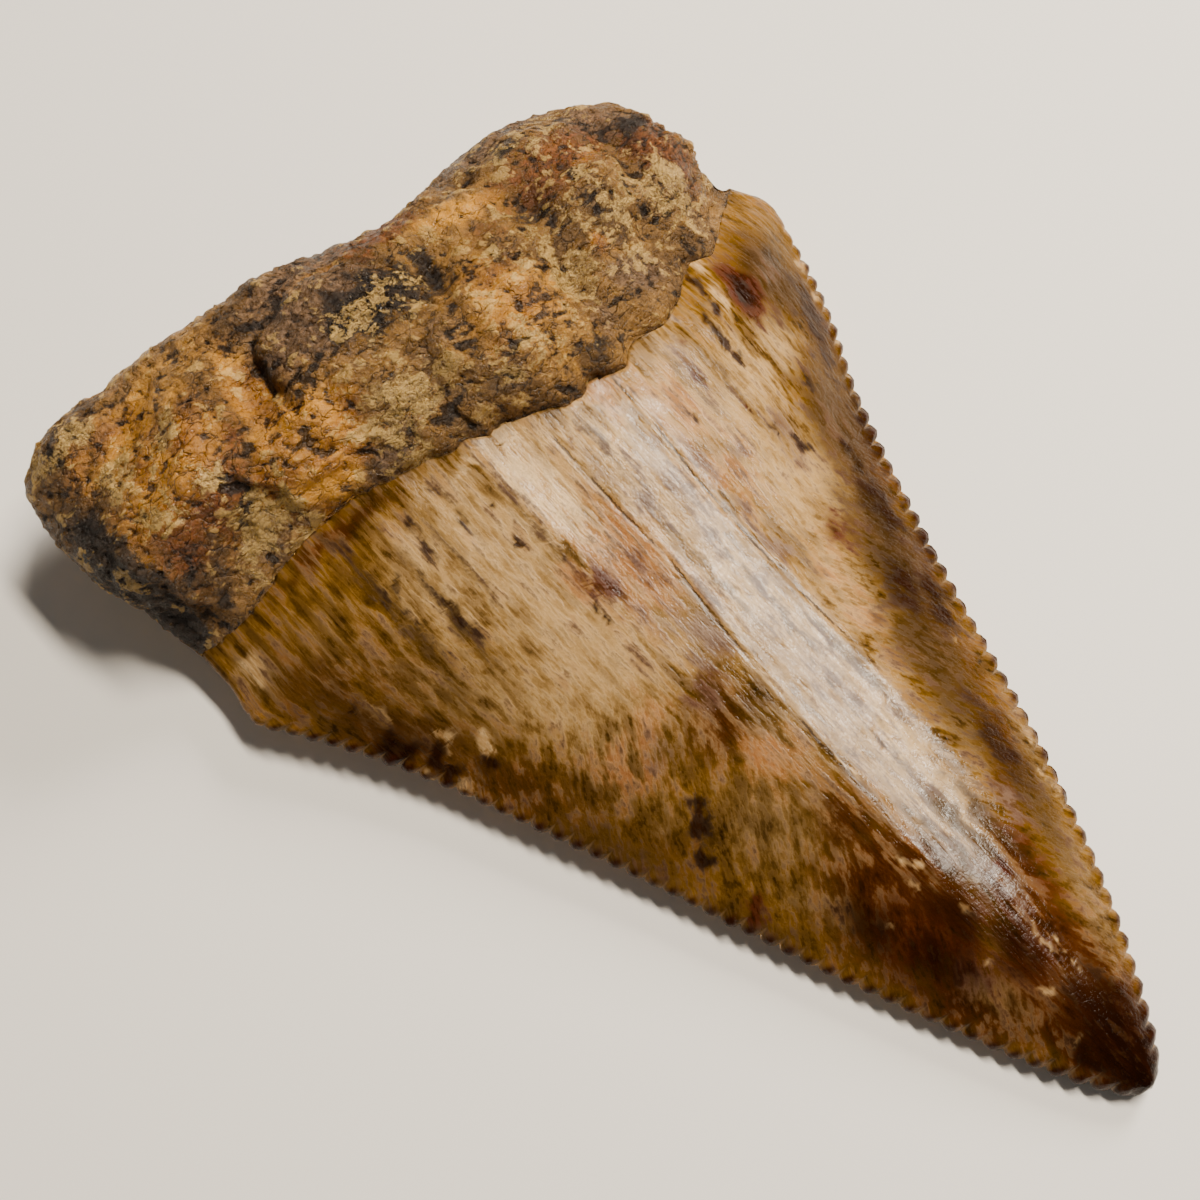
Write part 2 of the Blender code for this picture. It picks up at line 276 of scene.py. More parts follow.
# Where each form starts and over what length it grows, along the tooth in mm
FLAT_GROWTH = (9, 6)
ROOF_GROWTH = (6, 8)
SIDE_RIDGE_GROWTH = (28, 7)
FINE_CRACK = ((1.75, 24.5), (1.4, 20.0), (1.3, 15.5))
LONG_CRACK = ((3.9, 38.3), (3.8, 35), (3.5, 32), (3.4, 28), (3.45, 25), (3.6, 22), (3.65, 19.5))
MIDDLE_CRACK = ((-0.1, 37.8), (-0.15, 33), (0.0, 30), (-0.4, 26), (-0.5, 22), (-0.95, 17.5))
# Grooves in the enamel: the line, its half width and its depth in mm
GROOVES = ((LONG_CRACK, 0.11, 0.035),
           (((3.35, 35.6), (3.4, 33), (3.3, 30.8)), 0.12, 0.04),
           (MIDDLE_CRACK, 0.11, 0.035),
           (FINE_CRACK, 0.12, 0.02),
           (((-1.2, 38.9), (-1.25, 37.0), (-1.3, 33.0)), 0.30, 0.05),
           (((-5.9, 41.0), (-5.7, 38), (-5.6, 35.2)), 0.30, 0.06),
           (((-7.9, 40.8), (-7.9, 39), (-7.2, 36.6)), 0.26, 0.06),
           (((-10.6, 41.0), (-10.5, 38), (-10.2, 34)), 0.35, 0.06),
           (((7.6, 40.0), (8.6, 37.6), (10.0, 34.6)), 0.30, 0.07),
           (((8.8, 40.6), (10.0, 38.2), (10.7, 36.2)), 0.28, 0.06),
           (((10.4, 41.6), (11.0, 39.4), (12.1, 36.8)), 0.35, 0.06))


def crown_section(left, right, share, front):
    """A fine line across the crown at one level, on the rounded or on the flatter side."""
    across = np.linspace(-1, 1, FINE)
    x, y = between(left, right, across)
    sag = front_sag if front else back_sag
    y = y + ease((share - SAG_START) / (1 - SAG_START)) * sag(across)
    y = y + ragged(x, front) * ease((share - RAGGED_START) / RAGGED_LENGTH)
    fullness = TIP_FULLNESS + (BASE_FULLNESS - TIP_FULLNESS) * share
    height = CROWN_BELLY * share ** BELLY_RISE if front else -CROWN_BACK * share ** BACK_RISE
    z = height * (1 - np.abs(across) ** fullness)
    if front:
        z = z + enamel_relief(x, y, z)
    return across, x, y, z


def ragged(x, front):
    """The uneven end of the enamel, in mm along the tooth."""
    seed = 3.0 if front else 11.0
    places = x[::RAGGED_STEP]
    uneven = np.zeros(len(places))
    for width, height, depth in RAGGED:
        waves = [noise.noise(Vector((place / width, seed, depth))) for place in places]
        uneven += height * np.array(waves)
    return np.interp(x, places, uneven)


def grow(y, start, length):
    """A smooth rise from 0 at start to 1 a length later."""
    return ease((y - start) / length)


def enamel_relief(x, y, z):
    """Grooves and flats of the rounded side, in mm above the plain lens."""
    ridge_left = np.interp(y, *LEFT_RIDGE)
    ridge_right = np.interp(y, *RIGHT_RIDGE)
    part = (x - ridge_left) / (ridge_right - ridge_left)
    chord = np.interp(ridge_left, x, z) * (1 - part) + np.interp(ridge_right, x, z) * part
    inside = ease(part / RIDGE_SOFTNESS) * ease((1 - part) / RIDGE_SOFTNESS)
    relief = (chord - z) * inside * grow(y, *FLAT_GROWTH)
    beyond = np.maximum(np.maximum(ridge_left - x, x - ridge_right), 0)
    roof = ROOF_SLOPE * beyond * np.exp(-beyond / ROOF_REACH)
    relief = relief - roof * grow(y, *ROOF_GROWTH)
    side_ridge = np.exp(-((x - SIDE_RIDGE_PLACE) / SIDE_RIDGE_WIDTH) ** 2)
    relief = relief + SIDE_RIDGE_HEIGHT * side_ridge * grow(y, *SIDE_RIDGE_GROWTH)
    for line, half_width, depth in GROOVES:
        gap, along = near_line(x, y, line)
        fade = ease((1 - along) / GROOVE_FADE)
        relief = relief - depth * fade * np.exp(-(gap / half_width) ** 2)
    return relief


# %% [markdown]
# The serrations are a row of about fifty small rounded knobs on each edge. They could be fifty
# copies of a bead joined on. Because the rings already follow the edge, it is simpler to push
# the end points of the rings out at a knob and in at a notch: six rings make one serration. Old
# teeth are worn, so each knob gets its own size.

# %% Serrated edges
SERRATIONS = 50
RINGS_PER_KNOB = 6
KNOB_HEIGHT = 0.25
KNOB_FADE = 0.45
BACKWARD = 0.35
BEAD_HEIGHT = 0.13
BEAD_PLACE = 0.28
BEAD_REACH = 0.22
EDGE_THICKNESS = 0.10
EDGE_REACH = 0.8
SMALLEST_KNOB = 0.70
LARGEST_KNOB = 1.25
# Shares of the edge: the knobs grow up to the first one and fade between the other two
KNOB_GROWTH = 0.06
KNOB_END = (0.86, 0.10)
knob_sizes = np.random.default_rng(8).uniform(SMALLEST_KNOB, LARGEST_KNOB, (2, SERRATIONS + 1))


def knob_at(side, share):
    """How far a knob stands out at this share of the edge, from -0.5 in a notch to 0.5."""
    place = share * SERRATIONS
    shape = 1 - 2 * abs(place % 1 - 0.5)
    strength = ease(share / KNOB_GROWTH) * (1 - grow(share, *KNOB_END))
    return (np.sqrt(shape) - 0.5) * strength * knob_sizes[side, int(place)]


def with_edges(across, x, y, z, share, front):
    """Push the two ends of a section into knobs or notches, and blunt the edge."""
    side = 1 if front else -1
    half = (x[-1] - x[0]) / 2
    inward = (1 - np.abs(across)) * half
    knob = np.where(across < 0, knob_at(0, share), knob_at(1, share))
    outward = KNOB_HEIGHT * knob * np.exp(-(inward / KNOB_FADE) ** 1.5)
    bead = BEAD_HEIGHT * (knob + 0.2) * np.exp(-((inward - BEAD_PLACE) / BEAD_REACH) ** 2)
    blunt = EDGE_THICKNESS * (1 - np.exp(-inward / 0.07)) * np.exp(-inward / EDGE_REACH)
    z = z + side * (bead + blunt) * ease(share / 0.05)
    shade = knob * np.exp(-inward / 0.35) * ease(share / 0.03)
    return np.stack([x + np.sign(across) * outward, y - outward * BACKWARD, z, shade], axis=1)


# %% Rings of the crown
# Points of a ring: at the tip, and how many more there are at the root, above and below
TIP_POINTS = 24
MORE_ABOVE = 166
MORE_BELOW = 76
# How much closer the points lie at the edges and at the cracks, and how far that reaches in mm
EDGE_CROWDING = (2.5, 0.6)
CRACK_CROWDING = (1.6, 0.5)


def even_points(line, count, crowding):
    """count points along a fine line, closer together where crowding is high."""
    gaps = np.linalg.norm(np.diff(line[:, :3], axis=0), axis=1)
    gaps = gaps * (crowding[1:] + crowding[:-1]) / 2
    along = np.concatenate([[0], np.cumsum(gaps)])
    wanted = np.linspace(0, along[-1], count)
    return np.stack([np.interp(wanted, along, column) for column in line.T], axis=1)


def crown_ring(left, right, share):
    """One closed ring: over the rounded side from left to right, and back under."""
    halves = []
    for front in (True, False):
        across, x, y, z = crown_section(left, right, share, front)
        inward = (1 - np.abs(across)) * (x[-1] - x[0]) / 2
        crowding = 1 + EDGE_CROWDING[0] * np.exp(-inward / EDGE_CROWDING[1])
        if front:
            for crack in (LONG_CRACK, MIDDLE_CRACK):
                gap = near_line(x, y, crack)[0] / CRACK_CROWDING[1]
                crowding = crowding + CRACK_CROWDING[0] * np.exp(-gap ** 2)
        line = with_edges(across, x, y, z, share, front)
        count = int(TIP_POINTS + (MORE_ABOVE if front else MORE_BELOW) * share ** 0.8)
        line = even_points(line, count, crowding)
        halves.append(line[:-1] if front else line[:0:-1])
    return np.vstack(halves)


steps = RINGS_PER_KNOB * SERRATIONS
left_edge = smooth_line(LEFT_EDGE, steps + 1)
right_edge = smooth_line(RIGHT_EDGE, steps + 1)
crown_rings = [crown_ring(left_edge[k], right_edge[k], k / steps) for k in range(2, steps + 1)]
print("crown", len(crown_rings), "rings,", sum(len(ring) for ring in crown_rings), "points")

# %% [markdown]
# The root is thicker than the crown and starts with a small ledge over the end of the enamel.
# Its section swells quickly to a rounded block. It closes over the top along a curved line. The
# same way of making rings works here, and it gives one closed skin with the crown.

# %% Section of the root
ROOT_BELLY = 7.6
ROOT_BACK = 2.5
ROOT_RIM_LEVEL = 2.4
ROOT_ROUNDING = 0.60
ROOT_END_DROP = 0.30
FULL_SECTION = 0.36
FULL_HEIGHT = 0.55
CAP_START = 0.62
RAGGED_FADE = 0.12
RIM_RISE = 0.35
# Height of the ledge above the enamel, in mm, at shares of the way up the root
LEDGE = ((0, -0.12), (0.005, -0.10), (0.010, 0.10), (0.016, 0.22), (0.028, 0.32), (0.05, 0.42),
         (0.09, 0.55))


def root_section(left, right, rise, closing, front):
    """A fine line across the root at one level; closing goes to 1 as it shuts at the top."""
    across = -np.cos(np.linspace(0, math.pi, FINE))
    full = ease(rise / FULL_SECTION)
    x, y = between(left, right, across)
    start_sag = front_sag(across) if front else back_sag(across)
    uneven = ragged(x, front) * (1 - ease(rise / RAGGED_FADE))
    y = y + start_sag * (1 - rise) + top_sag(across) * rise + uneven
    lens = 1 - np.abs(across) ** BASE_FULLNESS
    box = np.sqrt(1 - across ** 2) ** ROOT_ROUNDING * (1 - ROOT_END_DROP * across ** 2)
    shut = (1 - closing ** 2.6) ** 0.45
    profile = (lens + (box - lens) * full) * shut
    level = ROOT_RIM_LEVEL * ease(rise / RIM_RISE)
    swell = math.sin(math.pi / 2 * min(1.0, rise / FULL_HEIGHT)) ** 0.8
    ledge = np.interp(rise, *zip(*LEDGE))
    if front:
        reach = CROWN_BELLY + ledge + (ROOT_BELLY - CROWN_BELLY - LEDGE[-1][1]) * swell
    else:
        reach = -(CROWN_BACK + 0.4 * ledge * (1 - full) + (ROOT_BACK - CROWN_BACK) * full)
    return x, y, level + (reach - level) * profile


# %% Rings of the root
ROOT_FRONT = 265
ROOT_UNDER = 135
WALL_RINGS = 70
CAP_RINGS = 30
WALL_STEPS = 1000


def root_ring(left, right, rise, closing):
    """One closed ring of the root, with even steps along it."""
    halves = []
    for front in (True, False):
        line = np.stack(root_section(left, right, rise, closing, front), axis=1)
        line = even_points(line, ROOT_FRONT if front else ROOT_UNDER, np.ones(FINE))
        halves.append(line[:-1] if front else line[:0:-1])
    return np.vstack(halves)


left_wall = smooth_line(LEFT_ROOT_WALL, WALL_STEPS + 1)
right_wall = smooth_line(RIGHT_ROOT_WALL, WALL_STEPS + 1)
lip = [rise for rise, height in LEDGE]
wall = np.linspace(LEDGE[-1][0], CAP_START, WALL_RINGS, endpoint=False)[1:]
turn = np.linspace(0, math.pi / 2, CAP_RINGS)
cap = CAP_START + (1 - CAP_START) * np.sin(turn)
root_rings = []
for rise in np.concatenate([lip, wall, cap]):
    at = int(round(rise * WALL_STEPS))
    closing = max(0.0, (rise - CAP_START) / (1 - CAP_START))
    root_rings.append(root_ring(left_wall[at], right_wall[at], rise, closing))
print("root", len(root_rings), "rings,", sum(len(ring) for ring in root_rings), "points")


# %% Join the rings to one closed skin
def stitch(lower, upper):
    """Triangles between two closed rings of point numbers that may have different counts."""
    faces = []
    i = j = 0
    while i < len(lower) or j < len(upper):
        a, b = lower[i % len(lower)], upper[j % len(upper)]
        if j == len(upper) or (i + 1) / len(lower) <= (j + 1) / len(upper):
            i += 1
            faces.append((a, lower[i % len(lower)], b))
        else:
            j += 1
            faces.append((a, upper[j % len(upper)], b))
    return faces


def numbered(rings, start):
    """The point numbers of each ring, counted from start."""
    numbers = []
    for ring in rings:
        numbers.append(list(range(start, start + len(ring))))
        start += len(ring)
    return numbers


rings = crown_rings + root_rings
loops = numbered(rings, 1)
points = np.vstack([[(0, 0, 0)]] + [ring[:, :3] for ring in rings])
knob_shade = np.zeros(len(points))
knob_shade[1:1 + sum(len(ring) for ring in crown_rings)] = np.vstack(crown_rings)[:, 3]
faces = [(0, loops[0][(k + 1) % len(loops[0])], loops[0][k]) for k in range(len(loops[0]))]
for lower, upper in zip(loops, loops[1:]):
    faces += stitch(lower, upper)
crown_faces = sum(len(a) + len(b) for a, b in zip(loops, loops[1:len(crown_rings)])) + len(loops[0])
over, under = loops[-1][:ROOT_FRONT], [loops[-1][0]] + loops[-1][:ROOT_FRONT - 2:-1]
i = j = 0
while i < len(over) - 1 or j < len(under) - 1:
    if j == len(under) - 1 or (i < len(over) - 1 and i / len(over) <= j / len(under)):
        faces.append((over[i], over[i + 1], under[j]))
        i += 1
    else:
        faces.append((over[i], under[j + 1], under[j]))
        j += 1
faces = [face for face in faces if len(set(face)) == 3]
print("triangles", len(faces), "of them enamel", crown_faces)

tooth_mesh = bpy.data.meshes.new("tooth_skin")
tooth_mesh.from_pydata(points, [], faces)
tooth_mesh.shade_smooth()
tooth = bpy.data.objects.new("tooth_skin", tooth_mesh)
bpy.context.scene.collection.objects.link(tooth)


# %% Read and move the points of the skin
def read_points():
    """The places and the normals of all points, in mm."""
    places = np.empty(len(tooth_mesh.vertices) * 3, np.float32)
    tooth_mesh.vertices.foreach_get("co", places)
    normals = np.empty_like(places)
    tooth_mesh.vertex_normals.foreach_get("vector", normals)
    return places.reshape(-1, 3).astype(float), normals.reshape(-1, 3).astype(float)


def move_points(places):
    """Put all points at new places."""
    tooth_mesh.vertices.foreach_set("co", places.astype(np.float32).ravel())
    tooth_mesh.update()


on_root = np.zeros(len(points), bool)
on_root[loops[len(crown_rings)][0]:] = True
places, normals = read_points()
print("root points", int(on_root.sum()), "of", len(points))

# %% [markdown]
# Fossil bone has been buried for ages. It keeps its big bulges, and over them lie flakes of
# hardened sediment with crisp edges, grooves where it cracked, wrinkles and small pores. Sculpting
# could do this, and Blender's displacement could do the fine part. Here named bulges are placed one
# by one, as they can be seen on the real tooth, and several kinds of noise do the rest: lumps,
# knobbly skin, grain, flakes that end in a step, wrinkles, crevices and pores.

# %% Bulges and hollows of the root
# x, y, reach across, reach along, lean in degrees, height, crispness of the rim; all in mm
BULGES = ((-14.5, 47.0, 3.6, 2.8, -20, 0.80, 2), (-17.3, 52.3, 1.6, 1.6, 0, 0.50, 2),
          (-14.0, 51.0, 2.8, 1.0, -24, -0.55, 2), (-4.6, 47.2, 3.7, 3.3, 0, 0.62, 7),
          (-9.0, 44.1, 2.3, 1.8, 10, 0.75, 4), (-12.6, 43.0, 2.0, 1.3, -10, -0.50, 2),
          (1.4, 42.4, 3.2, 3.7, 0, 0.62, 5), (5.8, 42.4, 0.9, 3.4, 4, -0.75, 2),
          (9.8, 45.4, 2.2, 2.0, 0, 0.75, 4), (8.8, 49.0, 2.8, 1.3, 0, 0.60, 3),
          (13.4, 47.0, 1.7, 1.9, 0, 0.65, 3), (13.0, 44.2, 1.4, 1.4, 0, 0.40, 2),
          (11.9, 46.4, 0.6, 1.9, 10, -0.70, 2), (6.2, 46.6, 1.4, 0.9, 0, -0.70, 2),
          (8.3, 41.2, 1.9, 0.8, 10, -0.45, 2), (0.6, 46.6, 0.8, 1.6, 20, -0.75, 2),
          (3.5, 48.5, 3.0, 0.9, 10, 0.50, 2), (-9.0, 47.6, 1.0, 2.6, 8, -0.50, 2),
          (-2.5, 51.2, 4.0, 0.8, 0, -0.40, 2), (-11.6, 48.6, 1.6, 1.6, 0, 0.35, 2))
BOSS_RIM = ((-8.2, 45.3), (-8.5, 47.2), (-7.8, 48.9), (-5.5, 50.1), (-2.8, 49.9), (-0.8, 48.2))
FAN_RIM = ((-11.5, 45.2), (-10.8, 43.4), (-10.0, 42.3), (-8.5, 42.0), (-7.0, 42.5))
WALL_RIDGE = ((-17.9, 46.2), (-17.2, 44.6), (-16.4, 42.9), (-15.4, 42.2))
# Lines on the root: the line, its half width and its height
RIDGES = ((BOSS_RIM, 0.30, -0.45), (FAN_RIM, 0.20, 0.28), (WALL_RIDGE, 0.28, 0.50),
          (((-9.8, 42.9), (-6.5, 41.9), (-3.8, 40.9)), 0.15, -0.16),
          (((-9.6, 43.6), (-6.6, 42.8), (-3.4, 41.8)), 0.15, -0.12),
          (((-4.4, 45.0), (-2.4, 45.4), (-0.4, 45.1)), 0.16, 0.16),
          (((-4.8, 45.9), (-2.6, 46.3), (-0.2, 46.1)), 0.16, 0.18),
          (((-4.6, 46.8), (-2.4, 47.3), (0.1, 47.0)), 0.16, 0.16),
          (((4.6, 39.2), (4.4, 42.0), (5.0, 45.5)), 0.22, -0.22),
          (((-2.9, 39.9), (-2.7, 42.5), (-1.6, 45.0)), 0.18, -0.15))


def square_in_oval(x, y, at_x, at_y, wide, long, lean):
    """The square of each point's distance from an oval's middle; it is 1 on the oval itself."""
    turn = math.radians(lean)
    across = ((x - at_x) * math.cos(turn) - (y - at_y) * math.sin(turn)) / wide
    along = ((x - at_x) * math.sin(turn) + (y - at_y) * math.cos(turn)) / long
    return across ** 2 + along ** 2


def bulge_height(x, y):
    """Height of the placed bulges, hollows and lines of the root's rounded side."""
    total = np.zeros_like(x)
    for *oval, height, crisp in BULGES:
        total += height * np.exp(-square_in_oval(x, y, *oval) ** (crisp / 2))
    for line, half_width, height in RIDGES:
        total += height * np.exp(-(near_line(x, y, line)[0] / half_width) ** 2)
    return total


# %% Lumps, flakes and pores
# Width and height in mm of what noise raises, and width and depth of what it sinks
LUMP = (3.2, 0.40)
KNOBBLE = (1.15, 0.11)
GRAIN = (0.36, 0.070)
FLAKE = (1.7, 0.09)
WRINKLE = (0.55, 0.080)
PORE = (0.50, 0.30)
CREVICE = (1.3, 0.09)
# Only the highest noise makes a pore, and only noise near zero makes a crevice
PORE_LEVEL = 0.44
CREVICE_WIDTH = 0.07
# Where the noise of a flake makes its step, and how wide that step is
FLAKE_STEP = (-0.02, 0.07)
# Wrinkles and crevices run across the tooth: how their noise is squeezed along x, y and z
WRINKLE_SQUEEZE = (0.45, 1.6, 1.0)
CREVICE_SQUEEZE = (0.8, 1.25, 1.0)
# The rims of the bulges wander: width of the bends and how far they reach
WANDER = (1.3, 0.45)
UNDERSIDE_CALM = 0.7
SETTLED_RINGS = 5

root_places = places[on_root]
up = np.clip(normals[on_root, 2], 0, 1)
wander = np.stack([rough(root_places, WANDER[0], seed) for seed in (21, 22)], axis=1) * WANDER[1]
lump = rough(root_places, LUMP[0], 1, 2)
knobble = rough(root_places, KNOBBLE[0], 2, 3)
grain = rough(root_places, GRAIN[0], 3, 2)
flake = grow(rough(root_places, FLAKE[0], 4, 4), *FLAKE_STEP)
pore = np.clip(rough(root_places, PORE[0], 5, 2) - PORE_LEVEL, 0, 1)
crevice = rough(root_places * CREVICE_SQUEEZE, CREVICE[0], 6, 2)
crevice = np.exp(-(crevice / CREVICE_WIDTH) ** 2)
wrinkle = rough(root_places * WRINKLE_SQUEEZE, WRINKLE[0], 7, 2)
push = bulge_height(*(root_places[:, :2] + wander).T) * up
calm = 1 - UNDERSIDE_CALM * np.clip(-normals[on_root, 2], 0, 1)
push += calm * (LUMP[1] * lump + KNOBBLE[1] * knobble + FLAKE[1] * flake)
push += GRAIN[1] * grain - PORE[1] * pore
push += calm * (WRINKLE[1] * wrinkle - CREVICE[1] * crevice)
ring_numbers = np.concatenate([np.full(len(ring), k) for k, ring in enumerate(root_rings)])
settle = ease((ring_numbers - 1) / SETTLED_RINGS)
places[on_root] += normals[on_root] * (push * settle)[:, None]
move_points(places)
print("root pushed by", round(float(push.min()), 2), "to", round(float(push.max()), 2), "mm")

# %% [markdown]
# Enamel looks smooth, but under a lamp its gloss breaks up: it has shallow waves a few
# millimetres wide, and fine ripples along the grain. The grain runs lengthwise in the middle and
# leans outward towards both edges. One way to get this is to bend the space of the noise, but
# that squeezes it near the tip. Here noise is taken in three directions and blended by how far
# across the tooth a point lies.

# %% Grain of the enamel
GRAIN_LEAN = math.radians(31)
# Shares of the half width between which the middle grain gives way to the leaning one
GRAIN_TURN = (0.15, 0.55)
# Width and height in mm of the enamel's ripples, waves and dimples
RIPPLE = (0.45, 0.020)
WAVE = (3.5, 0.045)
DIMPLE = (0.5, 0.012)
RIPPLE_GROWTH = (1, 3)


def blend_weights(fan):
    """How much of the left, middle and right grain a point has; fan is -1 to 1 across."""
    start, end = GRAIN_TURN
    left, right = ease((-fan - start) / (end - start)), ease((fan - start) / (end - start))
    return left, 1 - left - right, right


def grained(places, fan, size, length, seed):
    """Noise stretched along the grain: size is its width in mm, length how much longer it is."""
    total = np.zeros(len(places))
    for lean, weight in zip((-GRAIN_LEAN, 0, GRAIN_LEAN), blend_weights(fan)):
        x, y, z = places.T
        turned = np.stack([x * math.cos(lean) + y * math.sin(lean),
                           (y * math.cos(lean) - x * math.sin(lean)) / length, z], axis=1)
        total += weight * rough(turned, size, seed, 2)
    return total


x, y, z = places.T
half_width = np.interp(y, (left_edge[:, 1] + right_edge[:, 1]) / 2,
                       (right_edge[:, 0] - left_edge[:, 0]) / 2)
fan = np.clip(x / np.maximum(half_width, 0.5), -1, 1)
ripple = grained(places, fan, RIPPLE[0], 6, 31)
wave = rough(places, WAVE[0], 32, 2)
dimple = rough(places, DIMPLE[0], 33, 2)
enamel_push = RIPPLE[1] * ripple + WAVE[1] * wave + DIMPLE[1] * dimple
enamel_push = np.where(on_root, 0, enamel_push) * grow(y, *RIPPLE_GROWTH)
places += normals * enamel_push[:, None]
move_points(places)
places, normals = read_points()
print("enamel pushed by up to", round(float(np.abs(enamel_push).max()), 3), "mm")
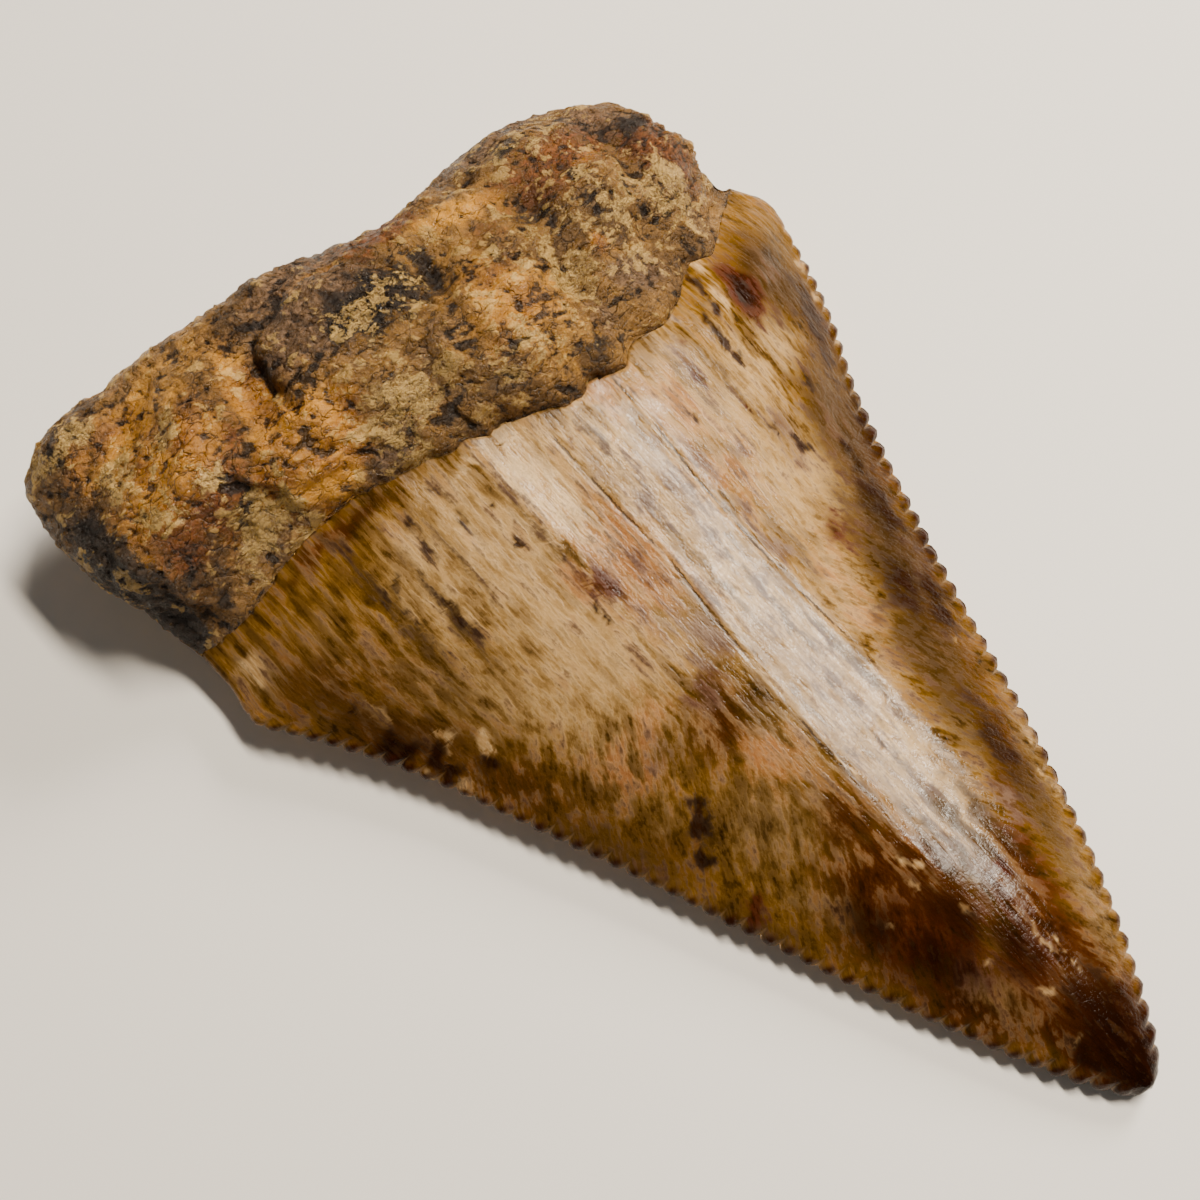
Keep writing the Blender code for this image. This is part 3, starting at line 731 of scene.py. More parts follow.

# %% [markdown]
# The colours of a fossil come from minerals that soaked in, so they lie in clouds, streaks and
# blotches with no straight edge. A photograph could be wrapped round the mesh, but then the light
# of that photograph would come with it. Instead each kind of stain is a list of soft ovals. Their
# edges are bent by noise here and broken into specks by the shader.
# A few ovals are painted light, not stains: the last six pale ones are painted sheen on the flat
# strip and a painted glint on the rim at the end of the enamel, and the first two black ones, at
# the far left end of the root, are partly painted shade.

# %% Stains of the enamel and of the bone, with some painted sheen and painted shade
# Each stain or patch of painted light: x, y, half its width, half its length, all in mm; lean in
# degrees, strength
STAINS_AND_PAINTED_LIGHT = {
    "amber": ((-2.6, 12.2, 2.8, 3.8, -10, 1.25), (-2.1, 16.4, 1.5, 1.9, -10, 0.9),
        (0.2, 4.4, 2.2, 5.4, 4, 1.5), (1.6, 10.2, 1.8, 2.6, 8, 1.1), (-3, 7.6, 1.5, 3.4, -24, 1),
        (-8.4, 21.4, 0.9, 3, -25, 0.5), (-3.2, 23.2, 1.9, 1.8, -20, 0.9),
        (5.8, 14.4, 1.2, 3, 20, 0.8), (-11.4, 27.6, 1.5, 4, -26, 0.7),
        (-13.8, 32.6, 1.5, 4, -30, 0.8), (-14.6, 36.4, 1.4, 1.6, -20, 0.7),
        (-10, 40.9, 3.6, 0.6, 4, 0.9), (8.8, 22, 1.5, 4, 26, 0.75), (12, 28.6, 1.2, 4, 26, 0.75),
        (-7.7, 38.4, 0.35, 1.6, 0, 0.7), (-9.6, 25, 1.6, 2.6, -26, 0.55),
        (14.8, 35.4, 1, 3.6, 26, 0.7), (14.4, 38.6, 1.3, 2.2, 20, 0.75),
        (10.6, 27.6, 1.3, 4.2, 24, 0.8), (4.6, 13.4, 0.7, 2.6, 20, 0.7),
        (-15.6, 37.6, 1.6, 2, -20, 0.6), (-12.4, 34.8, 1.2, 3.4, -26, 0.55),
        (7.6, 17.8, 1, 2.4, 24, 0.6)),
    "cream": ((-5.4, 35.2, 2.5, 4.2, -4, 1), (-5.2, 30, 2.7, 4.2, -12, 1),
        (-1.6, 36.6, 1.8, 3.2, 0, 1), (-2, 28, 1.8, 2.8, 0, 0.85), (1.8, 33, 2.2, 6.5, 0, 1),
        (1.6, 24, 2.2, 7, 0, 1), (1.6, 16.6, 1.5, 4.2, 4, 0.95), (6, 34.6, 2.5, 3.8, 8, 1.05),
        (7, 29.4, 2.8, 3.6, 16, 0.9), (5.2, 24.4, 1.6, 3.2, 12, 0.78),
        (-8.2, 29, 1.5, 3.8, -20, 0.66), (-8.2, 36, 2, 3.2, -6, 0.85),
        (9.2, 34.2, 1.2, 2.8, 16, 0.85), (12, 35.4, 1.1, 1.8, 20, 0.75)),
    "tan": ((-10.6, 32, 1.8, 4.4, -24, 0.66), (-7, 24.8, 2.5, 2.6, -24, 0.7),
        (-4.6, 18.8, 2.2, 2.6, -20, 0.8), (-7.6, 21.8, 1, 1.4, -24, 0.6),
        (-1.6, 20.6, 1.2, 2.6, -6, 0.75), (5.6, 21, 1.2, 3.6, 18, 0.55),
        (4.6, 16.2, 1, 2.8, 14, 0.72), (3.9, 8, 0.9, 3.4, 22, 0.85), (6.9, 13.4, 0.6, 2.8, 24, 0.7),
        (-5.4, 15, 0.7, 2.4, -26, 0.6), (-2.6, 7.4, 0.7, 1.6, -24, 0.66),
        (11.4, 35.6, 0.8, 2.4, 14, 0.6), (-13.2, 37.8, 2, 2.4, -20, 0.52),
        (-16.6, 39.2, 0.9, 1.4, 0, 0.75), (16.4, 39.6, 0.8, 2.4, 20, 0.55)),
    "umber": ((6.4, 19.6, 1.6, 4.4, 18, 0.95), (8.6, 24.4, 1.8, 4.4, 22, 0.95),
        (11.2, 30, 1.5, 4.2, 24, 0.9), (14.4, 38, 1.7, 3, 20, 0.9), (5, 11.6, 1, 3, 18, 0.75),
        (-10.4, 22.6, 0.9, 4, -26, 0.75), (-8, 15.8, 0.8, 3, -26, 0.75),
        (-14.2, 34, 0.9, 4, -28, 0.55), (0.35, 12.4, 0.22, 2.4, 0, 0.95),
        (1.35, 13.2, 0.4, 3, 0, 1.1), (2.5, 12.2, 0.3, 2.4, 0, 1), (4.8, 27, 0.4, 3, 6, 0.55),
        (0.9, 29, 0.22, 6, 0, 0.72), (2.1, 25, 0.2, 6, 0, 0.7), (3, 21, 0.25, 4.5, 0, 0.7),
        (1.4, 35.5, 0.2, 3, 0, 0.7), (-3.4, 35, 0.2, 3.5, 0, 0.66), (-8.8, 35.6, 0.3, 4.5, 0, 0.85),
        (-6.9, 36.4, 0.25, 3, 0, 0.75), (-10.6, 36, 0.3, 4, 0, 0.85), (6.6, 35.8, 0.25, 3, 0, 0.75),
        (8.2, 34.6, 0.25, 3, 4, 0.75)),
    "pink": ((-1.5, 31, 1.7, 3.4, 0, 0.75), (2.6, 37.4, 1, 1.8, 0, 0.6),
        (5.2, 33.5, 1.2, 4.4, 6, 0.6), (5.4, 23.8, 1, 3, 14, 0.5), (-3.8, 31.9, 0.8, 1.2, 0, 0.7),
        (-7.4, 24.4, 1, 1.6, -20, 0.55), (-5.6, 25.4, 1.4, 1, 0, 0.55),
        (-2.6, 20.4, 1.4, 1.4, 0, 0.55)),
    "lilac": ((-1, 26.6, 0.9, 1.6, 0, 0.85), (-3, 24.5, 0.7, 0.8, 0, 0.75),
        (-1.8, 25.6, 0.6, 0.7, 0, 0.75), (4.1, 27.3, 0.35, 0.9, 0, 0.8),
        (2.4, 26.3, 0.4, 1.2, 40, 0.7), (5.8, 31.8, 0.3, 0.5, 0, 0.85),
        (4.25, 32.6, 0.22, 1.1, 0, 0.85), (3.2, 34.4, 0.22, 0.7, 0, 0.75),
        (4.2, 29.5, 0.22, 0.7, 0, 0.75), (3.9, 12.3, 0.4, 1.1, 14, 0.8),
        (1.3, 15.3, 0.35, 0.9, 0, 0.8), (-2.7, 8, 0.8, 0.7, 0, 0.6), (0.9, 24.6, 0.8, 1.4, 10, 0.6),
        (1.8, 29.8, 0.7, 1.4, 0, 0.55), (0.5, 35, 0.35, 1.2, 0, 0.7), (1.6, 21, 1, 3, 0, 0.62),
        (2.4, 32, 0.8, 2.6, 0, 0.64), (0.9, 32.6, 0.3, 1.2, 0, 0.75), (8.6, 31, 0.9, 1.6, 20, 0.7),
        (7, 36, 0.5, 2, 14, 0.6), (-2.2, 28, 0.5, 1.4, 0, 0.6), (-6, 24, 0.9, 0.8, 0, 0.5)),
    "rust": ((12.3, 38.1, 0.7, 1.6, 15, 1.5), (12.5, 39.3, 0.25, 0.5, 10, 0.9),
        (-7.2, 16.5, 0.45, 0.6, 0, 1), (-2.8, 30.7, 0.35, 1.3, 5, 0.9),
        (-3.6, 31.6, 0.35, 0.6, 0, 0.8), (-1.1, 30, 0.4, 1.6, 0, 0.5),
        (7.1, 35.4, 0.25, 0.8, 10, 0.85), (8, 32.8, 0.16, 0.6, 10, 0.85),
        (7.9, 37.2, 0.16, 0.4, 10, 0.85), (7.1, 26.5, 0.6, 1.4, 12, 0.7),
        (1.4, 10.6, 0.25, 0.3, 0, 0.9), (0.6, 36.7, 0.5, 0.12, 0, 0.9),
        (-2.6, 24.8, 1.3, 0.5, 0, 0.6), (-0.4, 8.2, 1.6, 2.4, 0, 0.55),
        (0.2, 2.6, 1.1, 2.6, 0, 0.6), (-2.9, 10, 1.6, 2.6, -14, 0.62),
        (2.8, 9.6, 0.8, 2.6, 12, 0.5)),
    "dark": ((-14.2, 32.3, 0.55, 1, -30, 1), (-13.2, 30.8, 0.45, 0.55, 0, 0.9),
        (-13, 29.8, 0.4, 0.4, 0, 0.9), (-11.6, 29, 0.4, 0.4, 0, 0.85),
        (-15.7, 34.8, 0.25, 0.3, 0, 0.85), (-14.6, 35, 0.25, 0.3, 0, 0.85),
        (-8.6, 34.8, 0.22, 2.4, -6, 0.72), (-10.2, 36.5, 0.25, 3.4, -4, 0.66),
        (-10.8, 37.5, 0.2, 1.6, 0, 0.66), (-9.7, 37.3, 0.2, 0.45, 20, 0.95),
        (-4.3, 37.2, 0.14, 0.38, 0, 0.95), (-4.4, 34.8, 0.14, 0.3, 0, 0.9),
        (-3.2, 33.3, 0.15, 0.4, 0, 0.95), (-3.9, 29.7, 0.18, 0.35, 0, 0.9),
        (-4.1, 30.5, 0.14, 0.3, 0, 0.8), (-6.6, 20.3, 0.6, 0.5, -20, 1),
        (-7.3, 19.4, 0.35, 0.4, 0, 0.95), (-6.2, 21.2, 0.4, 0.5, 0, 0.95),
        (-4.2, 12.5, 0.8, 1.4, -14, 0.66), (-3.2, 9.6, 1, 1.5, -14, 0.8),
        (-1.6, 10.4, 0.8, 1.6, -10, 0.72), (-0.5, 8, 0.9, 1.4, 0, 0.75),
        (-1.1, 2.6, 0.5, 0.9, 0, 0.8), (0.4, 1.6, 1.6, 3.6, 4, 1.12),
        (5.5, 34.3, 0.16, 0.45, 10, 0.9), (9.6, 37.3, 0.18, 1.3, 12, 0.95),
        (12.3, 38, 0.35, 0.8, 15, 0.9), (10.6, 38.5, 0.18, 1.1, 12, 0.95),
        (10.9, 39.8, 0.15, 0.5, 12, 0.9), (9.6, 35.3, 0.15, 0.5, 12, 0.9),
        (11.5, 32.7, 0.25, 0.5, 12, 0.9), (9, 30.4, 0.45, 0.3, 30, 0.9),
        (8.3, 31.5, 0.15, 0.5, -20, 0.8), (14.6, 35, 0.8, 3.6, 26, 0.72),
        (13.4, 30.5, 0.9, 3.6, 24, 0.72), (11.3, 23.8, 0.9, 2.4, 24, 0.85),
        (10.8, 28.5, 0.35, 0.8, 20, 0.8), (8.8, 21, 0.9, 1.6, 20, 0.8),
        (7.8, 22.6, 0.9, 2, 20, 0.66), (10, 26, 0.9, 2, 22, 0.7), (5.6, 14.6, 1, 2.2, 15, 0.66),
        (-5.6, 37.9, 0.14, 1.6, 0, 0.7), (-7.6, 38.4, 0.2, 1.4, 10, 0.8)),
    # In the pale list the last six ovals are painted light: four are painted sheen along the flat
    # strip and just left of it, and two are a painted glint on the rim at the end of the enamel.
    # The others are pale chips and specks.
    "pale": ((-16.8, 39.5, 0.4, 0.8, 0, 0.9), (-13.9, 33.9, 0.3, 0.45, 0, 0.85),
        (-12.5, 31.2, 0.22, 0.35, 0, 0.85), (-11.2, 29.9, 0.28, 0.3, 0, 0.85),
        (-13.7, 30.4, 0.2, 0.25, 0, 0.8), (-12.9, 29.1, 0.2, 0.25, 0, 0.8),
        (-1.6, 13.5, 0.12, 0.4, -10, 0.85), (-1.2, 13, 0.1, 0.3, -10, 0.8),
        (-1.1, 10.3, 0.12, 0.35, -10, 0.8), (-3.7, 12, 0.1, 0.3, -14, 0.8),
        (0.3, 11, 0.1, 0.4, 0, 0.8), (-2, 12.3, 0.1, 0.3, -10, 0.75),
        (-1.85, 8.2, 0.16, 0.16, 0, 0.95), (-0.8, 5.9, 0.14, 0.14, 0, 0.95),
        (0.6, 7.2, 0.1, 1.2, 4, 0.8), (1.1, 6.6, 0.1, 1, 8, 0.75), (6.6, 12.2, 0.2, 0.35, 14, 0.8),
        (6.3, 11.2, 0.2, 0.3, 14, 0.8), (7.3, 13.6, 0.2, 0.35, 14, 0.8),
        (8.05, 18.95, 0.25, 0.08, 30, 0.85), (11.2, 38.4, 0.3, 0.8, 12, 0.8),
        (11.7, 40.5, 0.3, 0.6, 12, 0.8), (17, 38, 0.3, 0.3, 0, 0.9),
        (16.2, 36.4, 0.25, 0.3, 0, 0.9), (15.3, 34, 0.25, 0.3, 0, 0.9),
        (14.4, 32.2, 0.2, 0.25, 0, 0.9), (13.8, 31.1, 0.2, 0.25, 0, 0.9),
        (-1.2, 3.3, 0.12, 0.15, 0, 0.9), (-0.6, 18, 0.1, 0.6, 0, 0.9), (1.6, 36, 1.4, 2.4, 0, 0.6),
        (1.8, 30, 1.2, 5, 0, 0.55), (-2.1, 36.4, 1.1, 3.2, 0, 1), (2, 19, 0.9, 3.6, 0, 0.7),
        (-3.6, 39.3, 1.2, 0.25, -14, 0.9), (-1.2, 38.7, 1.2, 0.25, -14, 0.9)),
    "ochre": ((-14.2, 46.6, 3.2, 2.4, -25, 1.15), (-14.5, 50.2, 3, 1.6, -20, 0.85),
        (-8.9, 43.9, 2.5, 1.9, 0, 1.6), (-9.2, 47.6, 1, 2.6, 10, 0.85),
        (2.4, 42.6, 2.6, 3, 0, 0.75), (3.5, 48.2, 2.2, 0.6, 10, 0.9), (7.7, 43, 0.5, 0.5, 20, 0.95),
        (2.8, 42, 0.4, 0.6, 0, 0.9), (10.4, 46.8, 1.4, 0.4, -30, 0.9),
        (9.6, 48.4, 1.2, 0.35, 20, 0.8), (-17, 50.5, 1.4, 1.2, 0, 0.6), (-12, 50, 3, 1.2, -20, 0.5),
        (-2.6, 49.9, 3, 0.5, 0, 0.5)),
    "burnt": ((-13.2, 44.9, 2, 0.8, -20, 0.8), (-11.4, 45.8, 0.6, 1.6, 30, 0.6),
        (-15.6, 44.6, 1.4, 1, -20, 0.7), (-9.9, 44.2, 0.8, 0.5, 10, 0.45),
        (-15.4, 48, 2, 1, -20, 0.5), (9, 47.6, 3.2, 2.2, 0, 0.85), (13.8, 45.6, 1.6, 2.4, 0, 0.95),
        (4, 46.3, 0.8, 1.2, 0, 0.5), (0.4, 50, 2.6, 1.2, 0, 0.7)),
    "mauve": ((-4.9, 47.7, 3.3, 2.3, 0, 1), (-13.6, 51.6, 3, 0.9, -20, 0.6),
        (5.4, 40.6, 0.9, 1.4, 0, 0.7), (8.3, 41.2, 1.6, 0.9, 10, 0.9),
        (-6.4, 41.4, 2.6, 0.7, -14, 0.8), (-12, 42.4, 2.4, 0.8, -8, 0.6),
        (-7, 49.5, 3, 1.2, 0, 0.5), (7.6, 51.4, 4, 1.2, 0, 0.95), (-3.4, 51, 4.4, 1.2, -6, 0.85),
        (12.4, 48.8, 2, 1.8, 0, 0.9), (-1.5, 44, 2.2, 0.8, 0, 0.5)),
    # In the black list the first two ovals, at the far left end of the root, are partly the bone's
    # dark colour and partly painted shade on the wall turned from the lamps.
    "black": ((-18.6, 46, 1.2, 3.6, 0, 1), (-17.9, 43.4, 0.8, 1.4, 0, 0.95),
        (0.6, 46.8, 0.55, 1.5, 15, 0.9), (-2.6, 46.7, 2.4, 1.5, 0, 1.15),
        (-8.2, 47.4, 0.25, 1.3, 12, 0.9), (-6.4, 49.5, 1.6, 0.25, 14, 0.85),
        (-6.6, 45.9, 1.4, 0.22, -20, 0.8), (6.2, 46.2, 1.1, 0.7, 0, 0.75),
        (13.8, 47.6, 0.9, 0.9, 0, 0.9), (9, 46.6, 0.5, 1.2, -20, 0.7),
        (7.4, 49.6, 1.6, 0.4, 10, 0.7), (3.2, 45, 0.4, 1, 20, 0.62), (-12, 44.4, 0.5, 0.4, 0, 0.7),
        (11.6, 46.4, 0.4, 1.4, 10, 0.6), (4, 39.2, 1.2, 0.5, -10, 0.6)),
    "crust": ((-12.6, 43.3, 1.5, 0.9, -10, 0.85), (-12.9, 45.4, 0.8, 0.6, 0, 0.7),
        (-10.8, 43, 0.4, 1.2, 15, 0.85), (9.5, 44.6, 3.2, 2.2, 0, 0.5), (12.6, 44, 2, 1.8, 0, 0.65),
        (8.6, 50, 3.4, 1.1, 0, 0.52), (-2.6, 46.4, 2.2, 1.3, 0, 0.52), (5.6, 42.8, 1, 2, 0, 0.7),
        (-4.5, 42.6, 2.4, 1.4, 0, 0.72), (-15.6, 46.4, 1.2, 1.4, 0, 0.62),
        (-16.2, 52.2, 1, 0.8, 0, 0.8), (-16.4, 48.6, 1, 1.2, 0, 0.66),
        (-13.2, 48.4, 1.4, 0.8, -20, 0.62), (-17.6, 51.8, 1, 1.2, 0, 0.6),
        (-15, 49.4, 1.2, 0.8, -20, 0.5), (1.5, 40.6, 3.4, 1, 0, 0.5),
        (-5.4, 40.9, 3, 0.5, -14, 0.55), (4.6, 44.6, 2, 1.4, 0, 0.5)),
}


# %% Spread the stains and the painted light over the points
# How sharply an oval ends
OVAL_RIM = 2.4
# The flatter side isn't seen, so its clouds are noise alone: the width of a cloud and its level
UNDERSIDE_CLOUDS = {"amber": (5.0, 0.50), "cream": (7.0, 0.75), "tan": (4.0, 0.45),
                    "umber": (5.0, 0.10), "pink": (4.0, 0.35), "lilac": (3.0, 0.05),
                    "rust": (2.4, 0.0), "dark": (2.0, -0.15), "pale": (1.2, 0.18),
                    "ochre": (3.4, 0.52), "burnt": (2.8, 0.48), "mauve": (3.2, 0.50),
                    "black": (2.2, 0.34), "crust": (2.4, 0.46)}
# The tip is as dark below as above: how far up the darkening reaches, in mm, and its strength
UNDERSIDE_TIP = {"amber": (14.0, 0.9), "dark": (7.0, 1.0)}
# The first number for the noise of the clouds; each kind of stain takes the next one
FIRST_SEED = 50
# The slopes at which the placed stains take over from the clouds
TOPSIDE = (0.35, 0.5)


def spread(stains_and_light, x, y):
    """Strength of one kind of stain or painted light at each point: the strongest of its ovals."""
    strongest = np.zeros_like(x)
    for *oval, strength in stains_and_light:
        gap = np.sqrt(square_in_oval(x, y, *oval))
        strongest = np.maximum(strongest, strength * np.exp2(-gap ** OVAL_RIM))
    return strongest


def keep(name, values):
    """Store one number, or one vector, for each point under a name that the shader can read."""
    vector = values.ndim == 2
    layer = tooth_mesh.attributes.new(name, "FLOAT_VECTOR" if vector else "FLOAT", "POINT")
    layer.data.foreach_set("vector" if vector else "value", values.astype(np.float32).ravel())


# Near the root the grain runs straight down, whatever the slope of the edges
STRAIGHT_GRAIN = 0.85
STRAIGHT_GROWTH = (22, 12)
# The cracks of the enamel, and how dark each one is
CRACKS = ((LONG_CRACK, 0.85), (MIDDLE_CRACK, 0.85), (FINE_CRACK, 0.55))

# The rims of the ovals wander by up to half a millimetre
x, y, z = places.T
bend_x = 0.35 * rough(places, 1.2, 41, 3) + 0.10 * rough(places, 0.35, 42)
bend_y = 0.60 * grained(places, fan, 0.5, 4, 43) + 0.30 * rough(places, 1.2, 44, 3)
topside = ease((normals[:, 2] + TOPSIDE[0]) / TOPSIDE[1])
for order, (kind, stains_and_light) in enumerate(STAINS_AND_PAINTED_LIGHT.items()):
    cloud_size, cloud_level = UNDERSIDE_CLOUDS[kind]
    cloud = cloud_level + 0.5 * rough(places, cloud_size, FIRST_SEED + order, 3)
    tip_reach, tip_strength = UNDERSIDE_TIP.get(kind, (1.0, 0.0))
    cloud += tip_strength * ease((tip_reach - y) / tip_reach)
    strength = spread(stains_and_light, x + bend_x, y + bend_y) * topside + cloud * (1 - topside)
    keep(kind, strength)
fine_height = np.zeros(len(points))
fine_height[on_root] = (0.4 * knobble + 0.3 * grain + 0.4 * flake + 0.4 * wrinkle - 2.0 * pore
                        - 0.5 * crevice)
keep("fine_height", fine_height)
keep("place", places)
keep("fan", fan * (1 - STRAIGHT_GRAIN * grow(y, *STRAIGHT_GROWTH)))
keep("knob_shade", knob_shade)
crack_gaps = []
for crack, darkness in CRACKS:
    crack_x, crack_y = np.array(crack)[::-1].T
    crack_gaps.append(x - np.interp(y, crack_y, crack_x))
keep("cracks", np.stack(crack_gaps, axis=1))
print("stain kinds", len(STAINS_AND_PAINTED_LIGHT), "ovals", sum(len(stains_and_light) for stains_and_light in STAINS_AND_PAINTED_LIGHT.values()))

# %% [markdown]
# The finishes. In both of them every kind of stain, and of painted light, is one layer of paint
# over the last. Its strength plus some noise is cut off softly at a half, so the middle of an oval
# is solid and its rim breaks into specks, as real mineral stains do. A few helpers keep the node
# trees readable.


# %% Helpers for node trees
def tone(red, green, blue):
    """A display colour from 0 to 255 as the linear colour that shaders use."""
    share = np.array([red, green, blue]) / 255
    linear = np.where(share <= 0.04045, share / 12.92, ((share + 0.055) / 1.055) ** 2.4)
    return (*linear.tolist(), 1.0)


class Tree:
    """Short names for the nodes of one material."""

    def __init__(self, name):
        self.material = bpy.data.materials.new(name)
        self.material.use_nodes = True
        self.tree = self.material.node_tree
        self.shader = self.tree.nodes["Principled BSDF"]

    def put(self, socket, value):
        """Set a socket to a value, or link another socket to it."""
        if isinstance(value, bpy.types.NodeSocket):
            self.tree.links.new(value, socket)
        else:
            socket.default_value = value

    def node(self, kind, inputs, **settings):
        """The outputs of a new node, with its settings made and its inputs set or linked."""
        node = self.tree.nodes.new("ShaderNode" + kind)
        for name, value in settings.items():
            setattr(node, name, value)
        for name, value in inputs.items():
            self.put(node.inputs[name], value)
        return node.outputs

    def read(self, name):
        """One of the stored numbers or vectors of the points."""
        output = "Vector" if name in ("place", "cracks") else "Fac"
        return self.node("Attribute", {}, attribute_name=name)[output]

    def calc(self, operation, first, second=0.5, third=0.0):
        """One step of arithmetic."""
        return self.node("Math", {0: first, 1: second, 2: third}, operation=operation)[0]

    def move(self, operation, vector, by, plus=(0, 0, 0)):
        """One step of arithmetic with vectors."""
        return self.node("VectorMath", {0: vector, 1: by, 2: plus}, operation=operation)[0]

    def cloud(self, vector, per_mm, detail=3.0, rough=0.55, warp=0.0):
        """Noise from 0 to 1 with per_mm lumps in a millimetre."""
        return self.node("TexNoise", {"Vector": vector, "Scale": per_mm, "Detail": detail,
                                      "Roughness": rough, "Distortion": warp})["Fac"]

    def ramp(self, value, low, high, start=0.0, end=1.0):
        """A smooth rise from start to end while value goes from low to high."""
        return self.node("MapRange", {0: value, 1: low, 2: high, 3: start, 4: end},
                         interpolation_type="SMOOTHSTEP")[0]

    def mix(self, share, first, second):
        """Mix two numbers."""
        return self.node("Mix", {0: share, 2: first, 3: second})[0]

    def blend(self, share, below, above):
        """Mix two colours, which have sockets of their own on the same node."""
        return self.node("Mix", {0: share, 6: below, 7: above}, data_type="RGBA")[2]

    def grained(self, per_mm, length, detail, rough):
        """Noise stretched along the grain of the enamel, which leans outward at both sides."""
        noises = []
        for lean in (-GRAIN_LEAN, 0.0, GRAIN_LEAN):
            turned = self.node("VectorRotate", {"Vector": self.read("place"), "Angle": -lean},
                               rotation_type="Z_AXIS")[0]
            squeezed = self.move("MULTIPLY", turned, (1.0, 1.0 / length, 1.0))
            noises.append(self.cloud(squeezed, per_mm, detail, rough))
        start, end = GRAIN_TURN
        left = self.ramp(self.read("fan"), -start, -end)
        right = self.ramp(self.read("fan"), start, end)
        return self.mix(right, self.mix(left, noises[1], noises[0]), noises[2])

    def flakes(self, vector, bends, reach, per_mm):
        """A tone for each flake, and the distance to its edge, in a space that noise bends."""
        bend = self.node("TexNoise", {"Vector": vector, "Scale": bends})["Color"]
        cells = {"Vector": self.move("MULTIPLY_ADD", bend, (reach, reach, reach), vector),
                 "Scale": per_mm}
        return (self.node("TexVoronoi", cells, feature="F1")["Color"],
                self.node("TexVoronoi", cells, feature="DISTANCE_TO_EDGE")["Distance"])

    def paint(self, colour, layers, noises):
        """Paint layers of stains and painted light, given from the lowest up, over a colour."""
        for kind, deep, light, breakup, soft, cover, rim, inside in layers:
            specks = self.calc("SUBTRACT", noises[rim])
            noisy = self.calc("MULTIPLY_ADD", specks, breakup, self.read(kind))
            share = self.ramp(noisy, 0.5 - soft, 0.5 + soft, 0.0, cover)
            stain = self.blend(noises[inside], tone(*deep), tone(*light))
            colour = self.blend(share, colour, stain)
        return colour

    def bumps(self, heights):
        """Bump from pairs of a height, 0 to 1, and its depth in mm, one over the other."""
        normal = None
        for height, depth in heights:
            inputs = {"Strength": 1.0, "Distance": depth * MM, "Height": height}
            if normal:
                inputs["Normal"] = normal
            normal = self.node("Bump", inputs)["Normal"]
        self.put(self.shader.inputs["Normal"], normal)


# %% [markdown]
# Enamel finish. Fossil enamel is glassy, and its gloss is thin and soft from age, so it gets a weak
# clear coat over a half-glossy base. It could have one streaky image wrapped round it. Here long
# noise along the grain makes the streaks and threads, and round noise the clouds and specks. The
# amber parts are the glassiest. The cracks are dark hairlines.

# %% Paints of the enamel
# The first tone is the deep one of a pair and the second the light one; noise picks between them
ENAMEL_BASE = ((34, 20, 2), (156, 108, 28))
# Layers from the lowest up: the kind of stain or painted light, its two tones, how far noise breaks
# up its rim, how soft the rim is, how much it covers, the noise of its rim and the noise inside it
ENAMEL_LAYERS = (
    ("amber", (16, 3, 0), (90, 42, 1), 0.7, 0.45, 0.96, "both", "both"),
    ("tan", (62, 44, 22), (144, 112, 66), 1.0, 0.50, 0.90, "both", "both"),
    ("cream", (146, 109, 60), (214, 176, 118), 0.75, 0.50, 0.97, "both", "both"),
    ("pink", (146, 88, 46), (202, 144, 90), 0.9, 0.45, 0.80, "mixed", "fine"),
    # The pale layer paints pale chips and specks, and also painted sheen on the flat strip and a
    # painted glint on the rim of the enamel.
    ("pale", (196, 152, 96), (240, 200, 140), 0.9, 0.50, 0.75, "both", "thread"),
    ("umber", (20, 11, 3), (86, 60, 27), 1.0, 0.45, 0.92, "both", "both"),
    ("lilac", (72, 50, 40), (130, 102, 84), 1.2, 0.42, 0.80, "both", "fine"),
    ("rust", (32, 8, 1), (88, 33, 4), 1.0, 0.42, 0.94, "both", "fine"),
    ("dark", (9, 2, 0), (34, 11, 1), 1.0, 0.42, 0.95, "both", "mixed"))
FLECK_TONE = (60, 38, 12)
CRACK_TONE = (48, 30, 14)
KNOB_TONE = (44, 14, 3)
NOTCH_TONE = (134, 104, 66)
ENAMEL_SPECULAR = 0.17
COAT = 0.05
COAT_ROUGHNESS = 0.12
# Noise between these two levels is spread to the full range from 0 to 1
CONTRAST = (0.36, 0.64)
# Half the width of a crack in mm, from where it starts to show to where it is darkest, how far it
# wanders, and over how much of its length it fades at its lower and its upper end
CRACK_EDGE = (0.09, 0.03)
CRACK_WANDER = 0.05
CRACK_FADES = (1.5, 0.5)


# %% Enamel finish
def crack_share(t, gap, level, crack, darkness, speck, mottle):
    """How much a crack darkens each place, from its distance to the crack and its level."""
    wobble = t.calc("MULTIPLY_ADD", t.calc("SUBTRACT", speck), CRACK_WANDER, gap)
    line = t.ramp(t.calc("ABSOLUTE", wobble), *CRACK_EDGE, 0.0, darkness)
    low, high = crack[-1][1], crack[0][1]
    reach = t.calc("MULTIPLY", t.ramp(level, low, low + CRACK_FADES[0]),
                   t.ramp(level, high, high - CRACK_FADES[1]))
    broken = t.ramp(t.calc("MULTIPLY_ADD", mottle, 0.6, 0.45), 0.5, 0.8)
    return t.calc("MULTIPLY", t.calc("MULTIPLY", line, reach), broken)


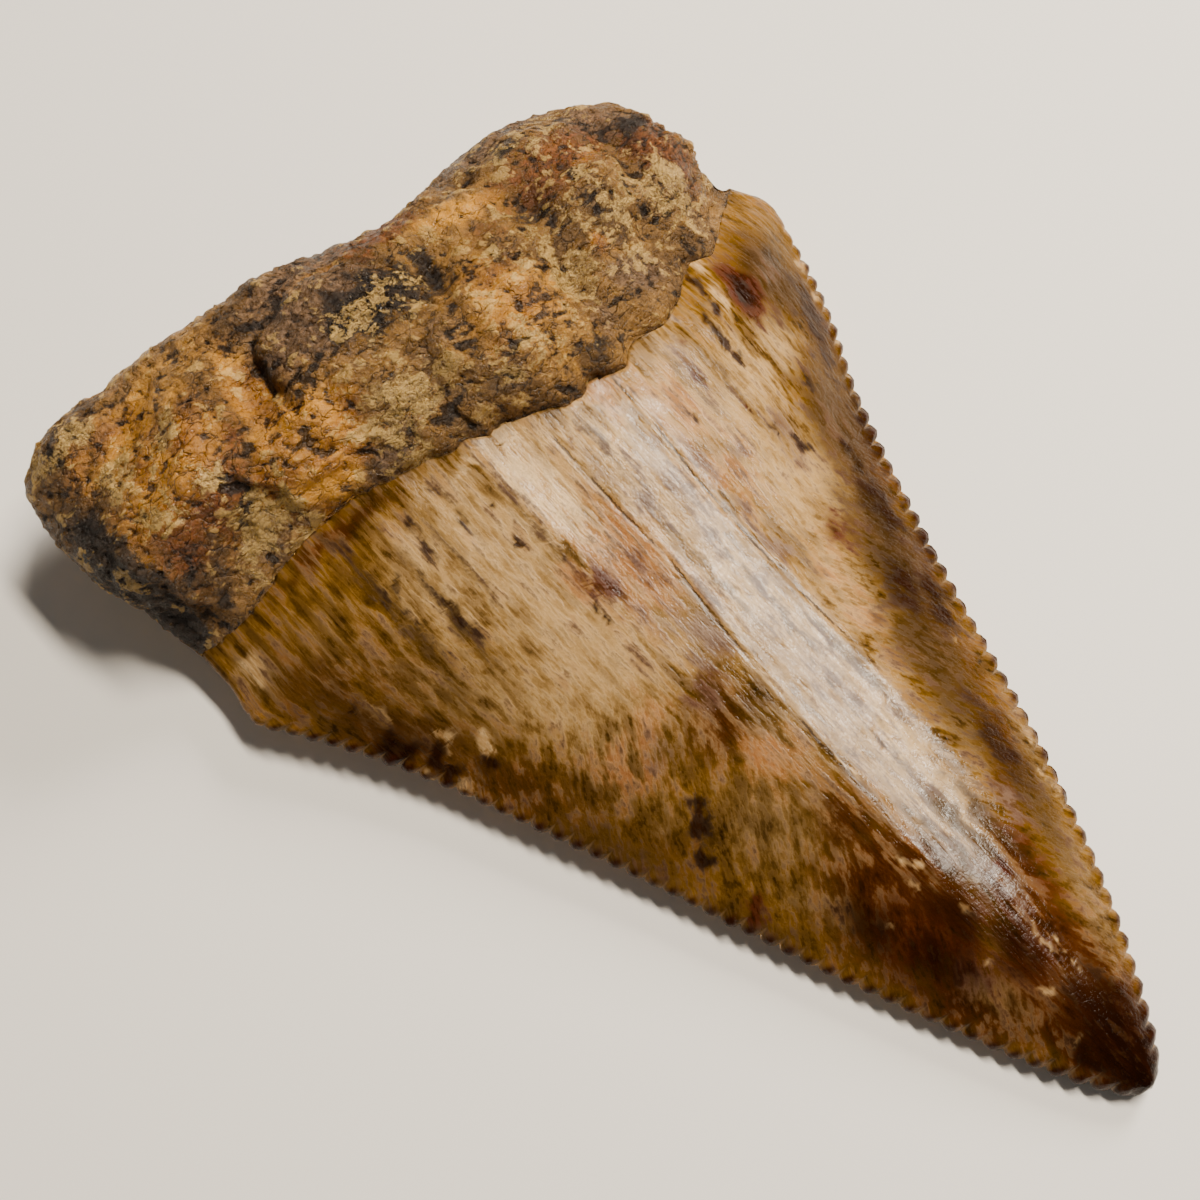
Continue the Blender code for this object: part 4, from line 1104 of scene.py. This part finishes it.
def enamel_finish():
    """Glassy, streaked and stained fossil enamel."""
    t = Tree("fossil_enamel")
    place = t.read("place")
    streak = t.ramp(t.grained(per_mm=1.7, length=7.0, detail=3.0, rough=0.50), *CONTRAST)
    thread = t.ramp(t.grained(per_mm=5.0, length=8.0, detail=3.0, rough=0.55), *CONTRAST)
    mottle = t.ramp(t.cloud(place, 0.7, 4.0, 0.50, 0.3), 0.34, 0.66)
    speck = t.ramp(t.cloud(place, 5.5, 3.0, 0.60, 0.2), *CONTRAST)
    mixed = t.mix(0.32, streak, mottle)
    fine = t.mix(0.22, thread, speck)
    both = t.mix(0.35, mixed, fine)
    noises = {"mixed": mixed, "fine": fine, "both": both, "thread": thread}
    colour = t.blend(both, *(tone(*paint) for paint in ENAMEL_BASE))
    colour = t.paint(colour, ENAMEL_LAYERS, noises)
    colour = t.blend(t.ramp(fine, 0.60, 1.0, 0.0, 0.35), colour, tone(*FLECK_TONE))
    gaps = t.node("SeparateXYZ", {0: t.read("cracks")})
    level = t.node("SeparateXYZ", {0: place})[1]
    for gap, (crack, darkness) in zip(gaps, CRACKS):
        share = crack_share(t, gap, level, crack, darkness, speck, mottle)
        colour = t.blend(share, colour, tone(*CRACK_TONE))
    knob = t.read("knob_shade")
    colour = t.blend(t.ramp(knob, 0.04, 0.28, 0.0, 0.9), colour, tone(*KNOB_TONE))
    colour = t.blend(t.ramp(knob, -0.05, -0.25, 0.0, 0.6), colour, tone(*NOTCH_TONE))
    t.put(t.shader.inputs["Base Color"], colour)
    polish = t.ramp(t.read("amber"), 0.3, 1.0, 1.0, 0.45)
    roughness = t.calc("MULTIPLY", t.ramp(fine, 0.30, 0.70, 0.14, 0.44), polish)
    t.put(t.shader.inputs["Roughness"], roughness)
    t.shader.inputs["Specular IOR Level"].default_value = ENAMEL_SPECULAR
    t.shader.inputs["Coat Weight"].default_value = COAT
    t.shader.inputs["Coat Roughness"].default_value = COAT_ROUGHNESS
    t.bumps(((streak, 0.010), (thread, 0.008), (speck, 0.006)))
    return t.material


# %% [markdown]
# Bone finish. The root is porous, and hard sediment lies on it in flakes. A pattern of cells,
# pushed about by noise so that no two are alike, gives each flake a tone of its own and a fine
# crack at its edge. The other colours follow the relief: pale crust on what stands out, and painted
# shade in the pores and crevices. The fine height that moved the points is used again for this, so
# that colour and shape agree. Most of the bone is dull, but the golden parts are smooth and shine.

# %% Paints of the bone
BONE_BASE = ((40, 22, 8), (172, 124, 56))
BONE_LAYERS = (
    ("mauve", (44, 29, 19), (142, 108, 76), 0.8, 0.30, 0.90, "both", "fine"),
    ("ochre", (112, 56, 5), (222, 156, 52), 0.8, 0.34, 0.94, "both", "wide"),
    ("burnt", (44, 17, 2), (132, 66, 10), 0.9, 0.34, 0.88, "both", "fine"),
    # The black layer paints dark marks of the bone, and at the root's far left end it is partly
    # painted shade.
    ("black", (8, 6, 3), (38, 24, 12), 0.9, 0.20, 0.95, "both", "fine"),
    ("crust", (132, 100, 50), (208, 170, 96), 1.3, 0.12, 0.92, "both", "grit"))
RAISED_TONE = (204, 164, 90)
# The tone of the painted shade in the pores and crevices
FLAKE_CRACK_TONE = (24, 13, 6)
PIT_SHADE_TONE = (24, 13, 5)
BONE_SPECULAR = 0.40
# The flakes: how the space is squeezed, bends in a millimetre, reach in mm, flakes in a millimetre
FLAKE_SQUEEZE = (0.75, 1.25, 1.0)
LARGE_FLAKES = (1.4, 1.3, 1.15)
SMALL_FLAKES = (4.0, 0.35, 3.2)


# %% Bone finish
def bone_finish():
    """Rough fossil bone with sediment."""
    t = Tree("fossil_bone")
    place = t.read("place")
    height = t.read("fine_height")
    patch = t.ramp(t.cloud(place, 0.9, 5.0, 0.58, 0.5), *CONTRAST)
    speck = t.ramp(t.cloud(place, 3.6, 5.0, 0.66, 0.3), *CONTRAST)
    grit = t.ramp(t.cloud(place, 9.0, 4.0, 0.70), *CONTRAST)
    broad = t.ramp(t.cloud(place, 0.26, 3.0, 0.50, 0.6), 0.38, 0.62)
    flake, gap = t.flakes(t.move("MULTIPLY", place, FLAKE_SQUEEZE), *LARGE_FLAKES)
    chip = t.flakes(place, *SMALL_FLAKES)[0]
    fine = t.mix(0.35, speck, chip)
    both = t.mix(0.42, t.mix(0.30, patch, flake), fine)
    noises = {"fine": fine, "both": both, "grit": grit, "wide": t.mix(0.5, both, broad)}
    colour = t.blend(t.mix(0.42, both, broad), *(tone(*paint) for paint in BONE_BASE))
    colour = t.paint(colour, BONE_LAYERS, noises)
    raised = t.calc("MULTIPLY_ADD", t.calc("SUBTRACT", both), 0.9, height)
    colour = t.blend(t.ramp(raised, 0.46, 0.62, 0.0, 0.60), colour, tone(*RAISED_TONE))
    crack = t.calc("MULTIPLY", t.ramp(gap, 0.04, 0.008), t.ramp(patch, 0.60, 0.35))
    colour = t.blend(t.calc("MULTIPLY", crack, 0.75), colour, tone(*FLAKE_CRACK_TONE))
    # Painted shade: the lowest places of the fine height and the noise, the pores and crevices, are
    # darkened.
    colour = t.blend(t.ramp(raised, -0.16, -0.50, 0.0, 0.85), colour, tone(*PIT_SHADE_TONE))
    t.put(t.shader.inputs["Base Color"], colour)
    dull = t.ramp(t.read("ochre"), 0.2, 0.9, 1.0, 0.5)
    roughness = t.calc("MULTIPLY", t.ramp(speck, 0.3, 0.7, 0.26, 0.54),
                       t.ramp(dull, 0.0, 1.0, 0.4, 1.0))
    t.put(t.shader.inputs["Roughness"], roughness)
    t.shader.inputs["Specular IOR Level"].default_value = BONE_SPECULAR
    grain_height = t.calc("MULTIPLY", t.mix(0.6, grit, chip), dull)
    t.bumps(((t.calc("MULTIPLY", speck, dull), 0.070), (grain_height, 0.060),
             (t.ramp(gap, 0.0, 0.10), 0.040)))
    return t.material


tooth_mesh.materials.append(enamel_finish())
tooth_mesh.materials.append(bone_finish())
slots = np.zeros(len(faces), np.int32)
slots[crown_faces:] = 1
tooth_mesh.polygons.foreach_set("material_index", slots)
print("finishes", [material.name for material in tooth_mesh.materials])

# %% [markdown]
# So far the tip has been at zero. Now the skin is laid down where the plain solid lies, on its
# flatter side, and what would sink into the floor is pressed flat, as a worn spot. Then the
# skin is tied to the frame: it rides on the solid's body and stands in for its plain look.

# %% Lie down in the frame
LYING_PITCH = math.radians(1.92)
TIP_PLACE = (0.70, -27.12, 0.65)
tooth_mesh.transform(Euler((LYING_PITCH, 0, 0)).to_matrix().to_4x4())
tooth_mesh.transform(Matrix.Translation(Vector(TIP_PLACE)))
places, normals = read_points()
places[:, 2] = np.maximum(places[:, 2], 0)
move_points(places * MM)
print("points on the worn flat that the tooth rests on", int((places[:, 2] == 0).sum()))
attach(tooth, "root")
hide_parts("tooth")
